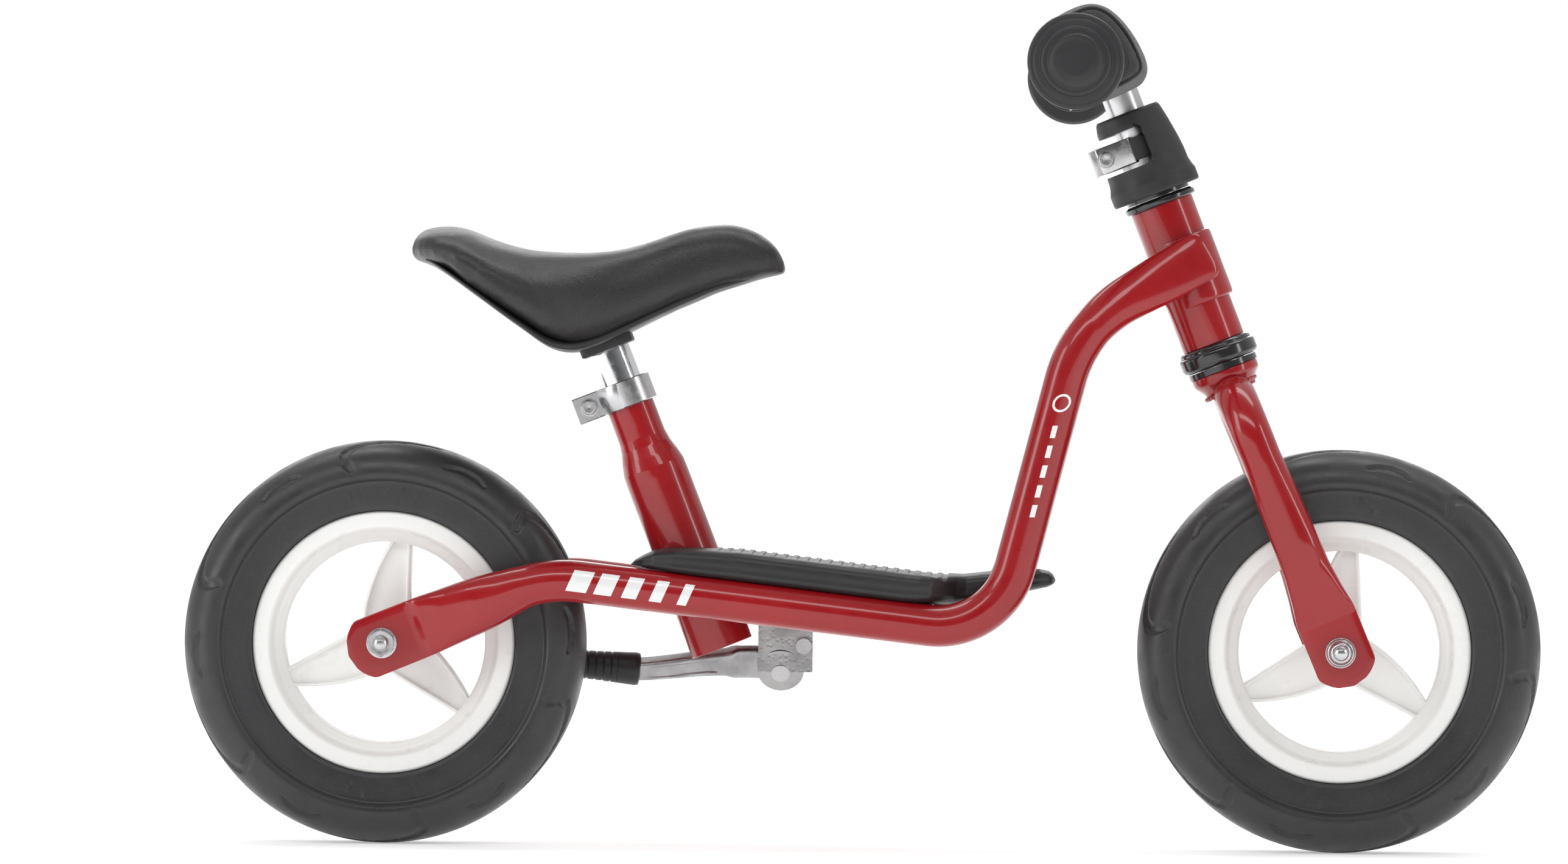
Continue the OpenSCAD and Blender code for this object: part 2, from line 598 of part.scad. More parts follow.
module axle_spacer() {
  color(zinc) translate([0, 0, hub_half + face_gap]) ring(axle_r + seat_gap, axle_r + 2.2,
      plate_y - hub_half - face_gap);
}
module rear_axle() { at_axle(rear_x) axle(); }
module rear_nut_left() { at_axle(rear_x) axle_nut(); }
module rear_nut_right() { at_axle(rear_x) mirror([0, 0, 1]) axle_nut(); }
module rear_washer_left() { at_axle(rear_x) axle_washer(); }
module rear_washer_right() { at_axle(rear_x) mirror([0, 0, 1]) axle_washer(); }
module rear_spacer_left() { at_axle(rear_x) axle_spacer(); }
module rear_spacer_right() { at_axle(rear_x) mirror([0, 0, 1]) axle_spacer(); }
module front_axle() { at_axle(front_x) axle(); }
module front_nut_left() { at_axle(front_x) axle_nut(); }
module front_nut_right() { at_axle(front_x) mirror([0, 0, 1]) cap_nut(); }
module front_washer_left() { at_axle(front_x) axle_washer(); }
module front_washer_right() { at_axle(front_x) mirror([0, 0, 1]) axle_washer(); }
module front_spacer_left() { at_axle(front_x) axle_spacer(); }
module front_spacer_right() { at_axle(front_x) mirror([0, 0, 1]) axle_spacer(); }

// ---- Wheels, turned about their own axle

tyre_half = tyre_w / 2;
seat_r = rim_r - 7;       // floor of the rim that the tyre is on
module tyre() {
  shoulder_r = rim_r + (tyre_r - rim_r) * 0.45;
  half = [
    [seat_r + seat_gap, rim_w / 2 - 3.5], [rim_r + 0.4, rim_w / 2 - 3.5], [rim_r + 0.6, tyre_half - 3.4],
    [rim_r + 2, tyre_half - 2], [rim_r + 6, tyre_half - 1.2], [rim_r + 12, tyre_half - 0.5]];
  crown = [for (a = [0 : 9 : 90])
    [shoulder_r + (tyre_r - shoulder_r) * pow(sin(a), 0.95), tyre_half * pow(cos(a), 0.86)]];
  side = concat(half, crown);
  color(rubber_black) rotate_extrude($fn = 96) polygon(concat(
    side, [for (i = [len(side) - 2 : -1 : 0]) [side[i][0], -side[i][1]]]));
}
module spoke() {
  // a blade like a short sabre: one edge straight, the other curved in towards the tip
  root = 13;
  tip_near = 6.5;
  tip_r = rim_open_r + 5.5;
  curve = [for (t = [0 : 0.1 : 1]) [-root + (tip_near + root) * pow(t, 2.2), tip_r * t]];
  polygon(concat(curve, [[tip_near + 2, tip_r + 1], [root - 1, tip_r + 0.6], [root + 1, tip_r - 1],
      [root, 0]]));
}
module rim() {
  half = rim_w / 2;
  blade_t = 15;
  color(white) difference() {
    union() {
      rotate_extrude($fn = 96) {
        polygon([
          [rim_open_r, -half + 10], [rim_open_r + 6.5, -half + 2.5], [rim_open_r + 7, -half], [rim_r, -half],
          [rim_r, -half + 3], [seat_r, -half + 3], [seat_r, half - 3], [rim_r, half - 3], [rim_r, half],
          [rim_open_r + 7, half], [rim_open_r + 6.5, half - 2.5], [rim_open_r, half - 10]]);
      }
      translate([0, 0, -hub_half]) cylinder(r = hub_r, h = 2 * hub_half);
      for (i = [0 : spokes - 1]) rotate([0, 0, 360 / spokes * i])
        translate([0, 0, -blade_t / 2]) linear_extrude(blade_t) spoke();
    }
    for (end = [0, 1]) mirror([0, 0, end]) {
      translate([0, 0, hub_half - bearing_w]) cylinder(r = bearing_r, h = bearing_w + over);
      for (i = [0 : spokes - 1]) rotate([0, 0, 360 / spokes * i])
        translate([0, 0, blade_t / 2 - 2]) linear_extrude(4) offset(delta = -1.8) difference() {
          spoke();
          circle(r = hub_r + 1);
        }
    }
    translate([0, 0, -hub_half - over]) cylinder(r = axle_r + 2, h = 2 * hub_half + 2 * over);
  }
}
module bearings() {
  // two bearings with a sleeve between them, joined as one turning piece
  color(zinc) rotate_extrude() polygon([
    [axle_r + run_gap, -hub_half], [bearing_r - seat_gap, -hub_half], [bearing_r - seat_gap,
        -hub_half + bearing_w - seat_gap],
    [axle_r + 1.8, -hub_half + bearing_w - seat_gap], [axle_r + 1.8, hub_half - bearing_w + seat_gap],
    [bearing_r - seat_gap, hub_half - bearing_w + seat_gap], [bearing_r - seat_gap, hub_half],
    [axle_r + run_gap, hub_half]]);
}
module rear_tyre() { at_axle(rear_x) tyre(); }
module rear_rim() { at_axle(rear_x) rotate([180, 0, 0]) rim(); }
module rear_bearings() { at_axle(rear_x) bearings(); }
module front_tyre() { at_axle(front_x) tyre(); }
module front_rim() { at_axle(front_x) rotate([180, 0, 0]) rotate([0, 0, 4]) rim(); }
module front_bearings() { at_axle(front_x) bearings(); }

// ---- Handlebar

module bar_frame() { head_frame() translate([-bar_back, 0, bar_height]) children(); }
module stem() {
  color(zinc) difference() {
    head_frame() translate([0, 0, stem_foot]) ring(stem_r - 2, stem_r, bar_height + 6 - stem_foot);
    bar_frame() across(-bar_w / 2, bar_w / 2, bar_r);
  }
}
module handlebar() {
  color(zinc) bar_frame() difference() {
    across(-bar_w / 2 + 6, bar_w / 2 - 6, bar_r);
    across(-bar_w / 2, bar_w / 2, bar_r - tube_wall);
  }
}
module grip() {
  inner = bar_w / 2 - grip_len;
  end = bar_w / 2;
  disc_r = disc_d / 2;
  color(rubber_black) bar_frame() rotate([-90, 0, 0]) rotate_extrude() polygon(concat([
    [bar_r + seat_gap, inner], [grip_r + 4, inner], [grip_r + 5, inner + 2], [grip_r + 3.6, inner + 4.5],
    [grip_r, inner + 6], [grip_r, end - 22], [disc_r - 6, end - 18], [disc_r - 1, end - 14], [disc_r,
        end - 11],
    [disc_r - 0.6, end - 8.5], [disc_r - 3, end - 7.4], [disc_r - 7, end - 6.6], [disc_r - 7.6, end - 4],
    [disc_r - 10.6, end - 3.6]],
    [for (a = [70 : -17.5 : 0]) [(disc_r - 10.8) * sin(a), end - 3.6 + 3.6 * cos(a)]],
    [[0, end - 6], [bar_r + seat_gap, end - 6]]));
}
module grip_left() { grip(); }
module grip_right() { mirror([0, 1, 0]) grip(); }

// The pad's outline beside the bar, ahead and up in the head tube's frame
pad_half = bar_w / 2 - grip_len - 7;
module pad_outline(grow) {
  offset(r = grow) polygon([
    [-14, -14], [6, -20], [27, -19], [36, -16], [34, 6], [28, 22], [20, 29], [8, 29], [-4, 27], [-14,
        16], [-17, 2]]);
}
module handlebar_pad() {
  color("#1c1c1e") difference() {
    bar_frame() hull() {
      rotate([90, 0, 0]) linear_extrude(2 * pad_half - 62, center = true) pad_outline(3);
      rotate([90, 0, 0]) linear_extrude(2 * pad_half, center = true) pad_outline(-4);
    }
    bar_frame() across(-bar_w / 2, bar_w / 2, bar_r + seat_gap);
    head_frame() cylinder(r = stem_r + seat_gap, h = bar_height + 6 + seat_gap);
  }
}

// ---- Kickstand: its pivot frame has Z along the pivot bolt and -X along the folded leg

module kickstand_housing() {
  block_h = 26;
  color(zinc) difference() {
    union() {
      stand_frame() translate([0, 0, -housing_half]) cylinder(r = 12.5, h = 2 * housing_half);
      translate([pivot[0] - 12, pivot[1] - 13, pivot[2] - 5]) cube([29, 22, block_h]);
    }
    // slot that the leg's knuckle turns in, open from the folded place to the standing one
    stand_frame() translate([0, 0, -knuckle_half - face_gap]) {
      cylinder(r = knuckle_r + 1.5, h = 2 * (knuckle_half + face_gap));
      linear_extrude(2 * (knuckle_half + face_gap)) polygon([
        [0, -knuckle_r - 1.5], [-60, -knuckle_r - 1.5], [-60, 60], [60, 60], [60, 40], [knuckle_r + 1.5, 0]]);
    }
    stand_frame() translate([0, 0, -20]) cylinder(r = pivot_r + seat_gap, h = 40);
    run_frame() translate([-over, stay_y, 0]) rotate([0, 90, 0]) cylinder(r = tube_r, h = run_len);
    kickstand_bolt_place() cylinder(r = stand_bolt_r + seat_gap, h = 4 * pivot[1], center = true);
    stand_frame() translate([0, 0, -30]) cylinder(r = 5.4, h = 30 - housing_half);
  }
}
module kickstand_bolt_place() { translate([pivot[0] + 12.5, 0, pivot[2] + 9]) rotate([90, 0, 0]) children(); }
module kickstand_pivot_bolt() {
  color(zinc) stand_frame() {
    translate([0, 0, -housing_half - 3]) cylinder(r = 5, h = 3);
    translate([0, 0, -housing_half]) cylinder(r = pivot_r, h = 2 * housing_half + 2);
  }
}
module kickstand_bolt() {
  color(zinc) kickstand_bolt_place() {
    translate([0, 0, -pivot[1] + 13]) cylinder(r = 4.2, h = 3);
    translate([0, 0, -pivot[1] - 9]) cylinder(r = stand_bolt_r, h = 22);
  }
}
module kickstand_leg() {
  arm_end = stand_len - foot_len;
  color(zinc) stand_frame() difference() {
    union() {
      translate([0, 0, -knuckle_half]) cylinder(r = knuckle_r, h = 2 * knuckle_half);
      translate([-28, 0, 0]) rotate([90, 0, -90]) linear_extrude(arm_end - 28 + leg_in) leg_section();
      translate([0, 0, -knuckle_half]) linear_extrude(2 * knuckle_half) polygon([
        [0, -knuckle_r], [-26, -7], [-30, -6.2], [-30, 6.2], [-26, 7], [0, knuckle_r]]);
    }
    translate([0, 0, -20]) cylinder(r = pivot_r + run_gap, h = 40);
  }
}
module leg_section() {
  high = 6.2;
  wide = 5;
  polygon([[-high, -wide + 2], [-high + 2, -wide], [high - 2, -wide], [high, -wide + 2],
           [high, wide - 2], [high - 2, wide], [-high + 2, wide], [-high, wide - 2]]);
}
module kickstand_foot() {
  color(rubber_black) stand_frame() translate([-stand_len, 0, 0]) rotate([0, 90, 0]) difference() {
    union() {
      cylinder(r1 = 6.5, r2 = 7.6, h = 5);
      translate([0, 0, 5]) cylinder(r1 = 7.6, r2 = 8.8, h = foot_len - 5);
    }
    translate([0, 0, foot_len - leg_in]) rotate([0, 0, 90]) linear_extrude(leg_in + over)
      offset(delta = seat_gap) leg_section();
  }
}

main_tube_left();
main_tube_right();
head_tube();
head_lug();
seat_tube();
seat_bridge_left();
seat_bridge_right();
front_bridge();
footboard();
board_screw_left();
board_screw_right();
lower_headset_cup();
upper_headset_cup();
seat_clamp();
seat_clamp_bolt();
seat_clamp_nut();
kickstand_housing();
kickstand_pivot_bolt();
kickstand_bolt();
rear_axle();
rear_nut_left();
rear_nut_right();
rear_washer_left();
rear_washer_right();
rear_spacer_left();
rear_spacer_right();
seat_post();
saddle_clamp();
saddle_shell();
saddle_cover();
steerer();
fork_crown();
fork_blade_left();
fork_blade_right();
crown_race();
top_race();
steering_cover();
bar_clamp();
bar_clamp_bolt();
bar_clamp_nut();
front_axle();
front_nut_left();
front_nut_right();
front_washer_left();
front_washer_right();
front_spacer_left();
front_spacer_right();
stem();
handlebar();
grip_left();
grip_right();
handlebar_pad();
rear_tyre();
rear_rim();
rear_bearings();
front_tyre();
front_rim();
front_bearings();
kickstand_leg();
kickstand_foot();
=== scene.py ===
"""A child's balance bike: twin-tube frame, turning fork, foam-tyred wheels, sliding saddle and handlebar."""

import json
import math

import bmesh
import bpy
import numpy as np
from mathutils import Matrix, Vector


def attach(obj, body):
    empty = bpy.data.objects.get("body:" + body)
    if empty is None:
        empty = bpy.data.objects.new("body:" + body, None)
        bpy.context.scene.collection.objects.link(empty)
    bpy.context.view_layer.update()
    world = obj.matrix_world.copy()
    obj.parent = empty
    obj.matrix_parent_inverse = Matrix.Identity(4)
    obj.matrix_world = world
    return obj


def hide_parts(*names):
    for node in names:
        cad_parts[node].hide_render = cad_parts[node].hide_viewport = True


bl_info = {
    "name": "Balance bike",
    "version": (1, 0, 0),
    "blender": (4, 5, 0),
    "location": "3D View > Sidebar > Balance bike",
    "description": "Builds the visible pieces of a balance bike around its packed frame",
    "category": "Add Mesh",
}

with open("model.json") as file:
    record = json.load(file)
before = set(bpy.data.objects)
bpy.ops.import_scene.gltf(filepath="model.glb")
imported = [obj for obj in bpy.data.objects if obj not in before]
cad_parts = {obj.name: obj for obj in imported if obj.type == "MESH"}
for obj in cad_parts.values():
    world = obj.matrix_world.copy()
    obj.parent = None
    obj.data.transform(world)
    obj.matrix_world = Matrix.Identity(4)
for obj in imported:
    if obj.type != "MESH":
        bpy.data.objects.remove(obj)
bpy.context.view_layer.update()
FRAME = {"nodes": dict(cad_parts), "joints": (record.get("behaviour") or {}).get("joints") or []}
JOINTS = {joint["name"]: joint for joint in FRAME["joints"]}
MM = 0.001


# ---- Places, from the frame


class Axes:
    """An origin and three right-angled axes.

    put() takes local points, in millimetres, to the bike's own frame.
    """

    def __init__(self, origin, x, z):
        self.origin = np.array(origin, float)
        self.x = np.array(x, float) / np.linalg.norm(x)
        self.z = np.array(z, float) / np.linalg.norm(z)
        self.y = np.cross(self.z, self.x)

    def put(self, points):
        """Each local axis times its own coordinate, summed and added to the origin."""
        points = np.asarray(points, float) * MM
        return self.origin + points[..., :1] * self.x + points[..., 1:2] * self.y + points[..., 2:3] * self.z


def leaning(origin, up):
    """Axes whose Z is up, and whose X points forward in the upright plane."""
    return Axes(origin, np.cross((0, 1, 0), up), up)


def joint_place(name):
    """Where a joint of the record sits, in metres."""
    return np.array(JOINTS[name]["pos_m"], float)


REAR = joint_place("rear_wheel_spin")
FRONT = joint_place("front_wheel_spin")
TYRE_R = REAR[2] / MM
HEAD = leaning(joint_place("steering"), JOINTS["steering"]["axis"])
SEAT = leaning(REAR + np.array([180, 0, -1.5]) * MM, JOINTS["seat_height"]["axis"])
# A wheel's axes, seen from the right: X forward, Y up, Z towards the rider's right
REAR_WHEEL = Axes(REAR, (1, 0, 0), (0, -1, 0))
FRONT_WHEEL = Axes(FRONT, (1, 0, 0), (0, -1, 0))
BAR = Axes(HEAD.put([-17.8, 0, 162.6]), HEAD.x, HEAD.z)
FORK = leaning(FRONT, (-math.sin(math.radians(22.75)), 0, math.cos(math.radians(22.75))))
STAND = Axes(joint_place("kickstand_fold"), (1, 0, 0), -np.array(JOINTS["kickstand_fold"]["axis"]))


# ---- Surfaces: a shape is a grid of points worked out as whole arrays


def grid(points, round_rows=False, round_columns=True):
    """The quads over a grid of points, closed along its rows or columns where that is said."""
    points = np.asarray(points, float)
    rows, columns = points.shape[:2]
    i = np.arange(rows if round_rows else rows - 1)[:, None]
    j = np.arange(columns if round_columns else columns - 1)[None, :]
    a = i * columns + j
    b = i * columns + (j + 1) % columns
    c = ((i + 1) % rows) * columns + (j + 1) % columns
    d = ((i + 1) % rows) * columns + j
    return points.reshape(-1, 3), np.stack([a, b, c, d], -1).reshape(-1, 4)


def capped(points):
    """A tube of rings whose two end rings are drawn in to their middles, so that it is closed."""
    first = points[0].mean(0, keepdims=True) + (points[0] - points[0].mean(0)) * 0
    last = points[-1].mean(0, keepdims=True) + (points[-1] - points[-1].mean(0)) * 0
    return grid(np.concatenate([first[None], points, last[None]]))


def softened(outline, radius, steps=4, closed=True):
    """An outline whose corners are rounded by a parabola that starts a radius before and ends a radius
    after each."""
    p = np.asarray(outline, float)
    before = np.roll(p, 1, 0)
    after = np.roll(p, -1, 0)
    if not closed:
        before[0], after[-1] = p[0], p[-1]
    r = np.broadcast_to(np.asarray(radius, float), (len(p),))[:, None]
    back = before - p
    on = after - p
    back_len = np.maximum(np.linalg.norm(back, axis=1, keepdims=True), 1e-9)
    on_len = np.maximum(np.linalg.norm(on, axis=1, keepdims=True), 1e-9)
    a = p + back / back_len * np.minimum(r, back_len * 0.48)
    b = p + on / on_len * np.minimum(r, on_len * 0.48)
    t = np.linspace(0, 1, steps + 1)[None, :, None]
    return ((1 - t) ** 2 * a[:, None] + 2 * t * (1 - t) * p[:, None] + t**2 * b[:, None]).reshape(-1,
                                                                                                  p.shape[1])


def turned(profile, axes, turns=96, soft=0.4, shape=None):
    """A closed profile of (radius, height) turned about an axis; shape(angle, radius, height) may change
    the radius."""
    p = softened(profile, soft)
    angle = np.linspace(0, 2 * math.pi, turns, endpoint=False)[:, None]
    radius = np.broadcast_to(p[None, :, 0], (turns, len(p)))
    height = np.broadcast_to(p[None, :, 1], (turns, len(p)))
    if shape is not None:
        radius = shape(angle, radius, height)
    local = np.stack([radius * np.cos(angle), radius * np.sin(angle), height], -1)
    return grid(axes.put(local), round_rows=True, round_columns=True)


def rounded_path(corners, radii, steps=24):
    """A path through corners, each inner one rounded to an arc of its radius."""
    corners = np.asarray(corners, float)
    path = [corners[:1]]
    for before, corner, after, radius in zip(corners[:-2], corners[1:-1], corners[2:], radii):
        u = (before - corner) / np.linalg.norm(before - corner)
        v = (after - corner) / np.linalg.norm(after - corner)
        half = math.acos(float(u @ v)) / 2
        centre = corner + (u + v) / np.linalg.norm(u + v) * radius / math.sin(half)
        x = (corner + u * radius / math.tan(half) - centre) / radius
        e = (corner + v * radius / math.tan(half) - centre) / radius
        y = (e - x * (e @ x)) / np.linalg.norm(e - x * (e @ x))
        turn = np.linspace(0, math.pi - 2 * half, steps)[:, None]
        path.append(centre + radius * (np.cos(turn) * x + np.sin(turn) * y))
    path.append(corners[-1:])
    return np.concatenate(path)


def along(path):
    """The distance along a path at each of its points."""
    return np.concatenate([[0], np.cumsum(np.linalg.norm(np.diff(path, axis=0), axis=1))])


def resampled(path, step):
    """The same path at even steps."""
    s = along(path)
    even = np.linspace(0, s[-1], int(s[-1] / step) + 2)
    return np.stack([np.interp(even, s, path[:, k]) for k in range(3)], -1), even


def bulge(c, k):
    """A cosine or sine raised to 2 / k with its sign kept: a circle at k = 2, nearly a square at 9."""
    return np.sign(c) * np.abs(c) ** (2 / k)


def swept(path, s, high, wide, square, sides=48, broad=None):
    """A tube along a path whose sections are flattened circles.

    Tables of distance along the path give the half height, which lies along broad or in the upright plane,
    the half width across it, and how square the section is.
    """
    t = np.gradient(path, axis=0)
    t /= np.linalg.norm(t, axis=1, keepdims=True)
    if broad is None:
        b = np.array([0.0, 1.0, 0.0]) - t * t[:, 1:2]
        b /= np.linalg.norm(b, axis=1, keepdims=True)
        n = np.cross(b, t)
    else:
        n = np.broadcast_to(np.asarray(broad, float), t.shape)
        b = np.cross(t, n)
    pick = lambda table: np.interp(s, *np.array(table, float).T)[:, None, None]
    turn = np.linspace(0, 2 * math.pi, sides, endpoint=False)[None, :, None]
    k = pick(square)
    return path[:, None] + n[:, None] * pick(high) * bulge(np.cos(turn), k) + b[:, None] * pick(wide) * bulge(
        np.sin(turn), k
    )


def extruded(outline, axes, low, high, bevel=0.5, steps=3):
    """A flat outline drawn up from low to high along Z, with its two rims rounded by shrinking it there."""
    p = np.asarray(outline, float)
    area = 0.5 * np.sum(p[:, 0] * np.roll(p[:, 1], -1) - np.roll(p[:, 0], -1) * p[:, 1])
    if area < 0:
        p = p[::-1]
    edge = np.roll(p, -1, 0) - np.roll(p, 1, 0)
    inward = np.stack([-edge[:, 1], edge[:, 0]], -1) / np.maximum(np.linalg.norm(edge, axis=1,
                                                                                 keepdims=True), 1e-9)
    a = np.linspace(0, math.pi / 2, steps + 1)
    inset = np.concatenate([bevel * (1 - np.sin(a)), bevel * (1 - np.cos(a))])
    height = np.concatenate([low + bevel * (1 - np.cos(a)), high - bevel * (1 - np.sin(a))])
    rings = p[None] + inward[None] * inset[:, None, None]
    local = np.concatenate([rings, np.broadcast_to(height[:, None, None], rings.shape[:2] + (1,))], -1)
    return capped(axes.put(local))


def piece(name, parts, paint, body, replaces=(), crease=38, live=None):
    """A mesh piece from (points, quads) parts. Its seams are welded, its faces point out, and it rides on
    a body."""
    points, quads, count = [], [], 0
    for verts, faces in parts:
        points.append(verts)
        quads.append(faces + count)
        count += len(verts)
    mesh = bpy.data.meshes.new(name)
    mesh.from_pydata(np.concatenate(points), [], np.concatenate(quads))
    sewn = bmesh.new()
    sewn.from_mesh(mesh)
    bmesh.ops.remove_doubles(sewn, verts=sewn.verts, dist=2e-6)
    bmesh.ops.recalc_face_normals(sewn, faces=sewn.faces)
    sewn.to_mesh(mesh)
    sewn.free()
    mesh.shade_smooth()
    mesh.set_sharp_from_angle(angle=math.radians(crease))
    thing = bpy.data.objects.new(name, mesh)
    bpy.context.scene.collection.objects.link(thing)
    mesh.materials.append(paint)
    if live:
        live(thing)
    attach(thing, body)
    if replaces:
        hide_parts(*replaces)
    return thing


def cad_finish(names, paint):
    """A CAD node that keeps its own shape gets a better finish."""
    for name in names:
        mesh = FRAME["nodes"][name].data
        mesh.materials.clear()
        mesh.materials.append(paint)


# ---- Finishes


class Finish:
    """A material and short ways to add the nodes that vary it."""

    def __init__(self, name, **sockets):
        self.material = bpy.data.materials.new(name)
        self.material.use_nodes = True
        self.tree = self.material.node_tree
        self.shader = self.tree.nodes["Principled BSDF"]
        for socket, value in sockets.items():
            self.shader.inputs[socket.replace("_", " ")].default_value = value
        self.place = self.node("ShaderNodeTexCoord").outputs["Object"]

    def node(self, kind, **settings):
        made = self.tree.nodes.new(kind)
        for key, value in settings.items():
            setattr(made, key, value)
        return made

    def wire(self, source, target):
        self.tree.links.new(source, target)

    def feed(self, target, source):
        """Links a socket, or sets a plain value."""
        if isinstance(source, bpy.types.NodeSocket):
            self.wire(source, target)
        else:
            target.default_value = source

    def noise(self, scale, detail=3, rough=0.5, stretch=(1, 1, 1), distortion=0.0):
        place = self.node("ShaderNodeMapping")
        place.inputs["Scale"].default_value = stretch
        self.wire(self.place, place.inputs["Vector"])
        made = self.node("ShaderNodeTexNoise")
        made.inputs["Scale"].default_value = scale
        made.inputs["Detail"].default_value = detail
        made.inputs["Roughness"].default_value = rough
        made.inputs["Distortion"].default_value = distortion
        self.wire(place.outputs["Vector"], made.inputs["Vector"])
        return made.outputs["Fac"]

    def cells(self, scale, feature="F1", stretch=(1, 1, 1)):
        place = self.node("ShaderNodeMapping")
        place.inputs["Scale"].default_value = stretch
        self.wire(self.place, place.inputs["Vector"])
        made = self.node("ShaderNodeTexVoronoi", feature=feature)
        made.inputs["Scale"].default_value = scale
        self.wire(place.outputs["Vector"], made.inputs["Vector"])
        return made.outputs["Distance"]

    def maths(self, operation, a, b=0.0, c=0.0, clamp=False):
        made = self.node("ShaderNodeMath", operation=operation, use_clamp=clamp)
        for socket, value in zip(made.inputs, (a, b, c)):
            self.feed(socket, value)
        return made.outputs[0]

    def spread(self, value, low, high, to_low=0.0, to_high=1.0):
        made = self.node("ShaderNodeMapRange", interpolation_type="SMOOTHSTEP")
        for socket, number in zip(("From Min", "From Max", "To Min", "To Max"), (low, high, to_low, to_high)):
            made.inputs[socket].default_value = number
        self.wire(value, made.inputs["Value"])
        return made.outputs["Result"]

    def mix(self, amount, a, b):
        made = self.node("ShaderNodeMix", data_type="RGBA")
        self.feed(made.inputs["Factor"], amount)
        self.feed(made.inputs["A"], a if isinstance(a, bpy.types.NodeSocket) else (*a, 1.0))
        self.feed(made.inputs["B"], b if isinstance(b, bpy.types.NodeSocket) else (*b, 1.0))
        return made.outputs["Result"]

    def axes(self):
        made = self.node("ShaderNodeSeparateXYZ")
        self.wire(self.place, made.inputs[0])
        return made.outputs

    def colour(self, source):
        self.feed(self.shader.inputs["Base Color"], source)

    def rough(self, source):
        self.feed(self.shader.inputs["Roughness"], source)

    def bump(self, height, strength, distance):
        made = self.node("ShaderNodeBump")
        made.inputs["Strength"].default_value = strength
        made.inputs["Distance"].default_value = distance
        self.wire(height, made.inputs["Height"])
        self.wire(made.outputs["Normal"], self.shader.inputs["Normal"])


def shade(colour, by):
    """A colour made darker or lighter by a factor."""
    return tuple(min(1.0, max(0.0, c * by)) for c in colour[:3])


PAINTS = {}


def paint(name):
    """The finish of that name, made once from the colours in the panel."""
    if name not in PAINTS:
        PAINTS[name] = FINISHES[name](bpy.context.scene.bike_colours)
    return PAINTS[name]


def red_lacquer(colours, marks=None):
    """Thick glossy powder coat: a faint orange peel under a clear coat, and slightly darker in places."""
    red = tuple(colours.lacquer)
    f = Finish("red_lacquer", Roughness=0.3, Coat_Weight=0.7, Coat_Roughness=0.05, Specular_IOR_Level=0.3)
    cloud = f.spread(f.noise(14, 3), 0.35, 0.7)
    coat = f.mix(cloud, shade(red, 0.94), shade(red, 1.06))
    if marks is not None:
        coat = f.mix(marks(f), coat, tuple(colours.print_white))
    f.colour(coat)
    f.rough(f.spread(f.noise(60, 4), 0.3, 0.7, 0.24, 0.36))
    f.bump(f.noise(420, 2, 0.4), 0.05, 0.0004)
    return f.material


def stay_marks(f):
    """Five slanted bars, one after the other, each shorter than the last, printed on both stays."""
    x, y, z = f.axes()
    slant = f.maths("ADD", x, f.maths("MULTIPLY", z, -0.45))
    start, pitch = -0.218, 0.0155
    step = f.maths("DIVIDE", f.maths("SUBTRACT", slant, start), pitch)
    index = f.maths("FLOOR", step)
    within = f.maths("FRACT", step)
    bar = f.maths("LESS_THAN", within, f.maths("SUBTRACT", 0.74, f.maths("MULTIPLY", index, 0.1)))
    span = f.maths("MULTIPLY", f.maths("GREATER_THAN", step, 0.0), f.maths("LESS_THAN", step, 5.0))
    middle = f.maths("ADD", z, f.maths("MULTIPLY_ADD", x, 0.1163, -0.1243))
    height = f.maths("LESS_THAN", f.maths("ABSOLUTE", middle), 0.0058)
    outer = f.maths("GREATER_THAN", f.maths("ABSOLUTE", y), 0.041)
    return f.maths("MULTIPLY", f.maths("MULTIPLY", bar, span), f.maths("MULTIPLY", height, outer))


def rise_marks(f):
    """A row of short dashes up the outside of each front tube, with a ring above it."""
    x, y, z = f.axes()
    centre = f.maths("MULTIPLY_ADD", f.maths("SUBTRACT", z, 0.19), 0.245, 0.0932)
    across = f.maths("SUBTRACT", x, centre)
    step = f.maths("DIVIDE", f.maths("SUBTRACT", z, 0.178), 0.0105)
    dash = f.maths("LESS_THAN", f.maths("FRACT", step), 0.62)
    span = f.maths("MULTIPLY", f.maths("GREATER_THAN", step, 0.0), f.maths("LESS_THAN", step, 4.7))
    narrow = f.maths("LESS_THAN", f.maths("ABSOLUTE", across), 0.0014)
    ring_z = f.maths("SUBTRACT", z, 0.2385)
    ring_x = f.maths("SUBTRACT", across, 0.0003)
    from_ring = f.maths(
        "SQRT", f.maths("ADD", f.maths("MULTIPLY", ring_x, ring_x), f.maths("MULTIPLY", ring_z, ring_z))
    )
    ring = f.maths("LESS_THAN", f.maths("ABSOLUTE", f.maths("SUBTRACT", from_ring, 0.0042)), 0.0006)
    outer = f.maths("GREATER_THAN", f.maths("ABSOLUTE", y), 0.041)
    dashes = f.maths("MULTIPLY", f.maths("MULTIPLY", dash, span), narrow)
    return f.maths("MULTIPLY", f.maths("MAXIMUM", dashes, ring), outer)


def main_tube_marks(f):
    """Both sets of printed marks on one tube."""
    return f.maths("MAXIMUM", stay_marks(f), rise_marks(f))


def metal(name, colour, rough, scratches=0.04, stretch=(1, 1, 1)):
    """Bright metal whose polish varies, with fine scratches."""
    f = Finish(name, Metallic=1.0)
    cloud = f.spread(f.noise(35, 4), 0.3, 0.7)
    f.colour(f.mix(cloud, shade(colour, 0.93), shade(colour, 1.03)))
    f.rough(f.spread(f.noise(160, 5, 0.6, stretch), 0.3, 0.7, rough - 0.06, rough + 0.1))
    f.bump(f.noise(900, 3, 0.5, stretch), scratches, 0.0003)
    return f.material


def zinc_steel(colours):
    return metal("zinc_steel", tuple(colours.steel), 0.26, 0.08, (1, 0.3, 1))


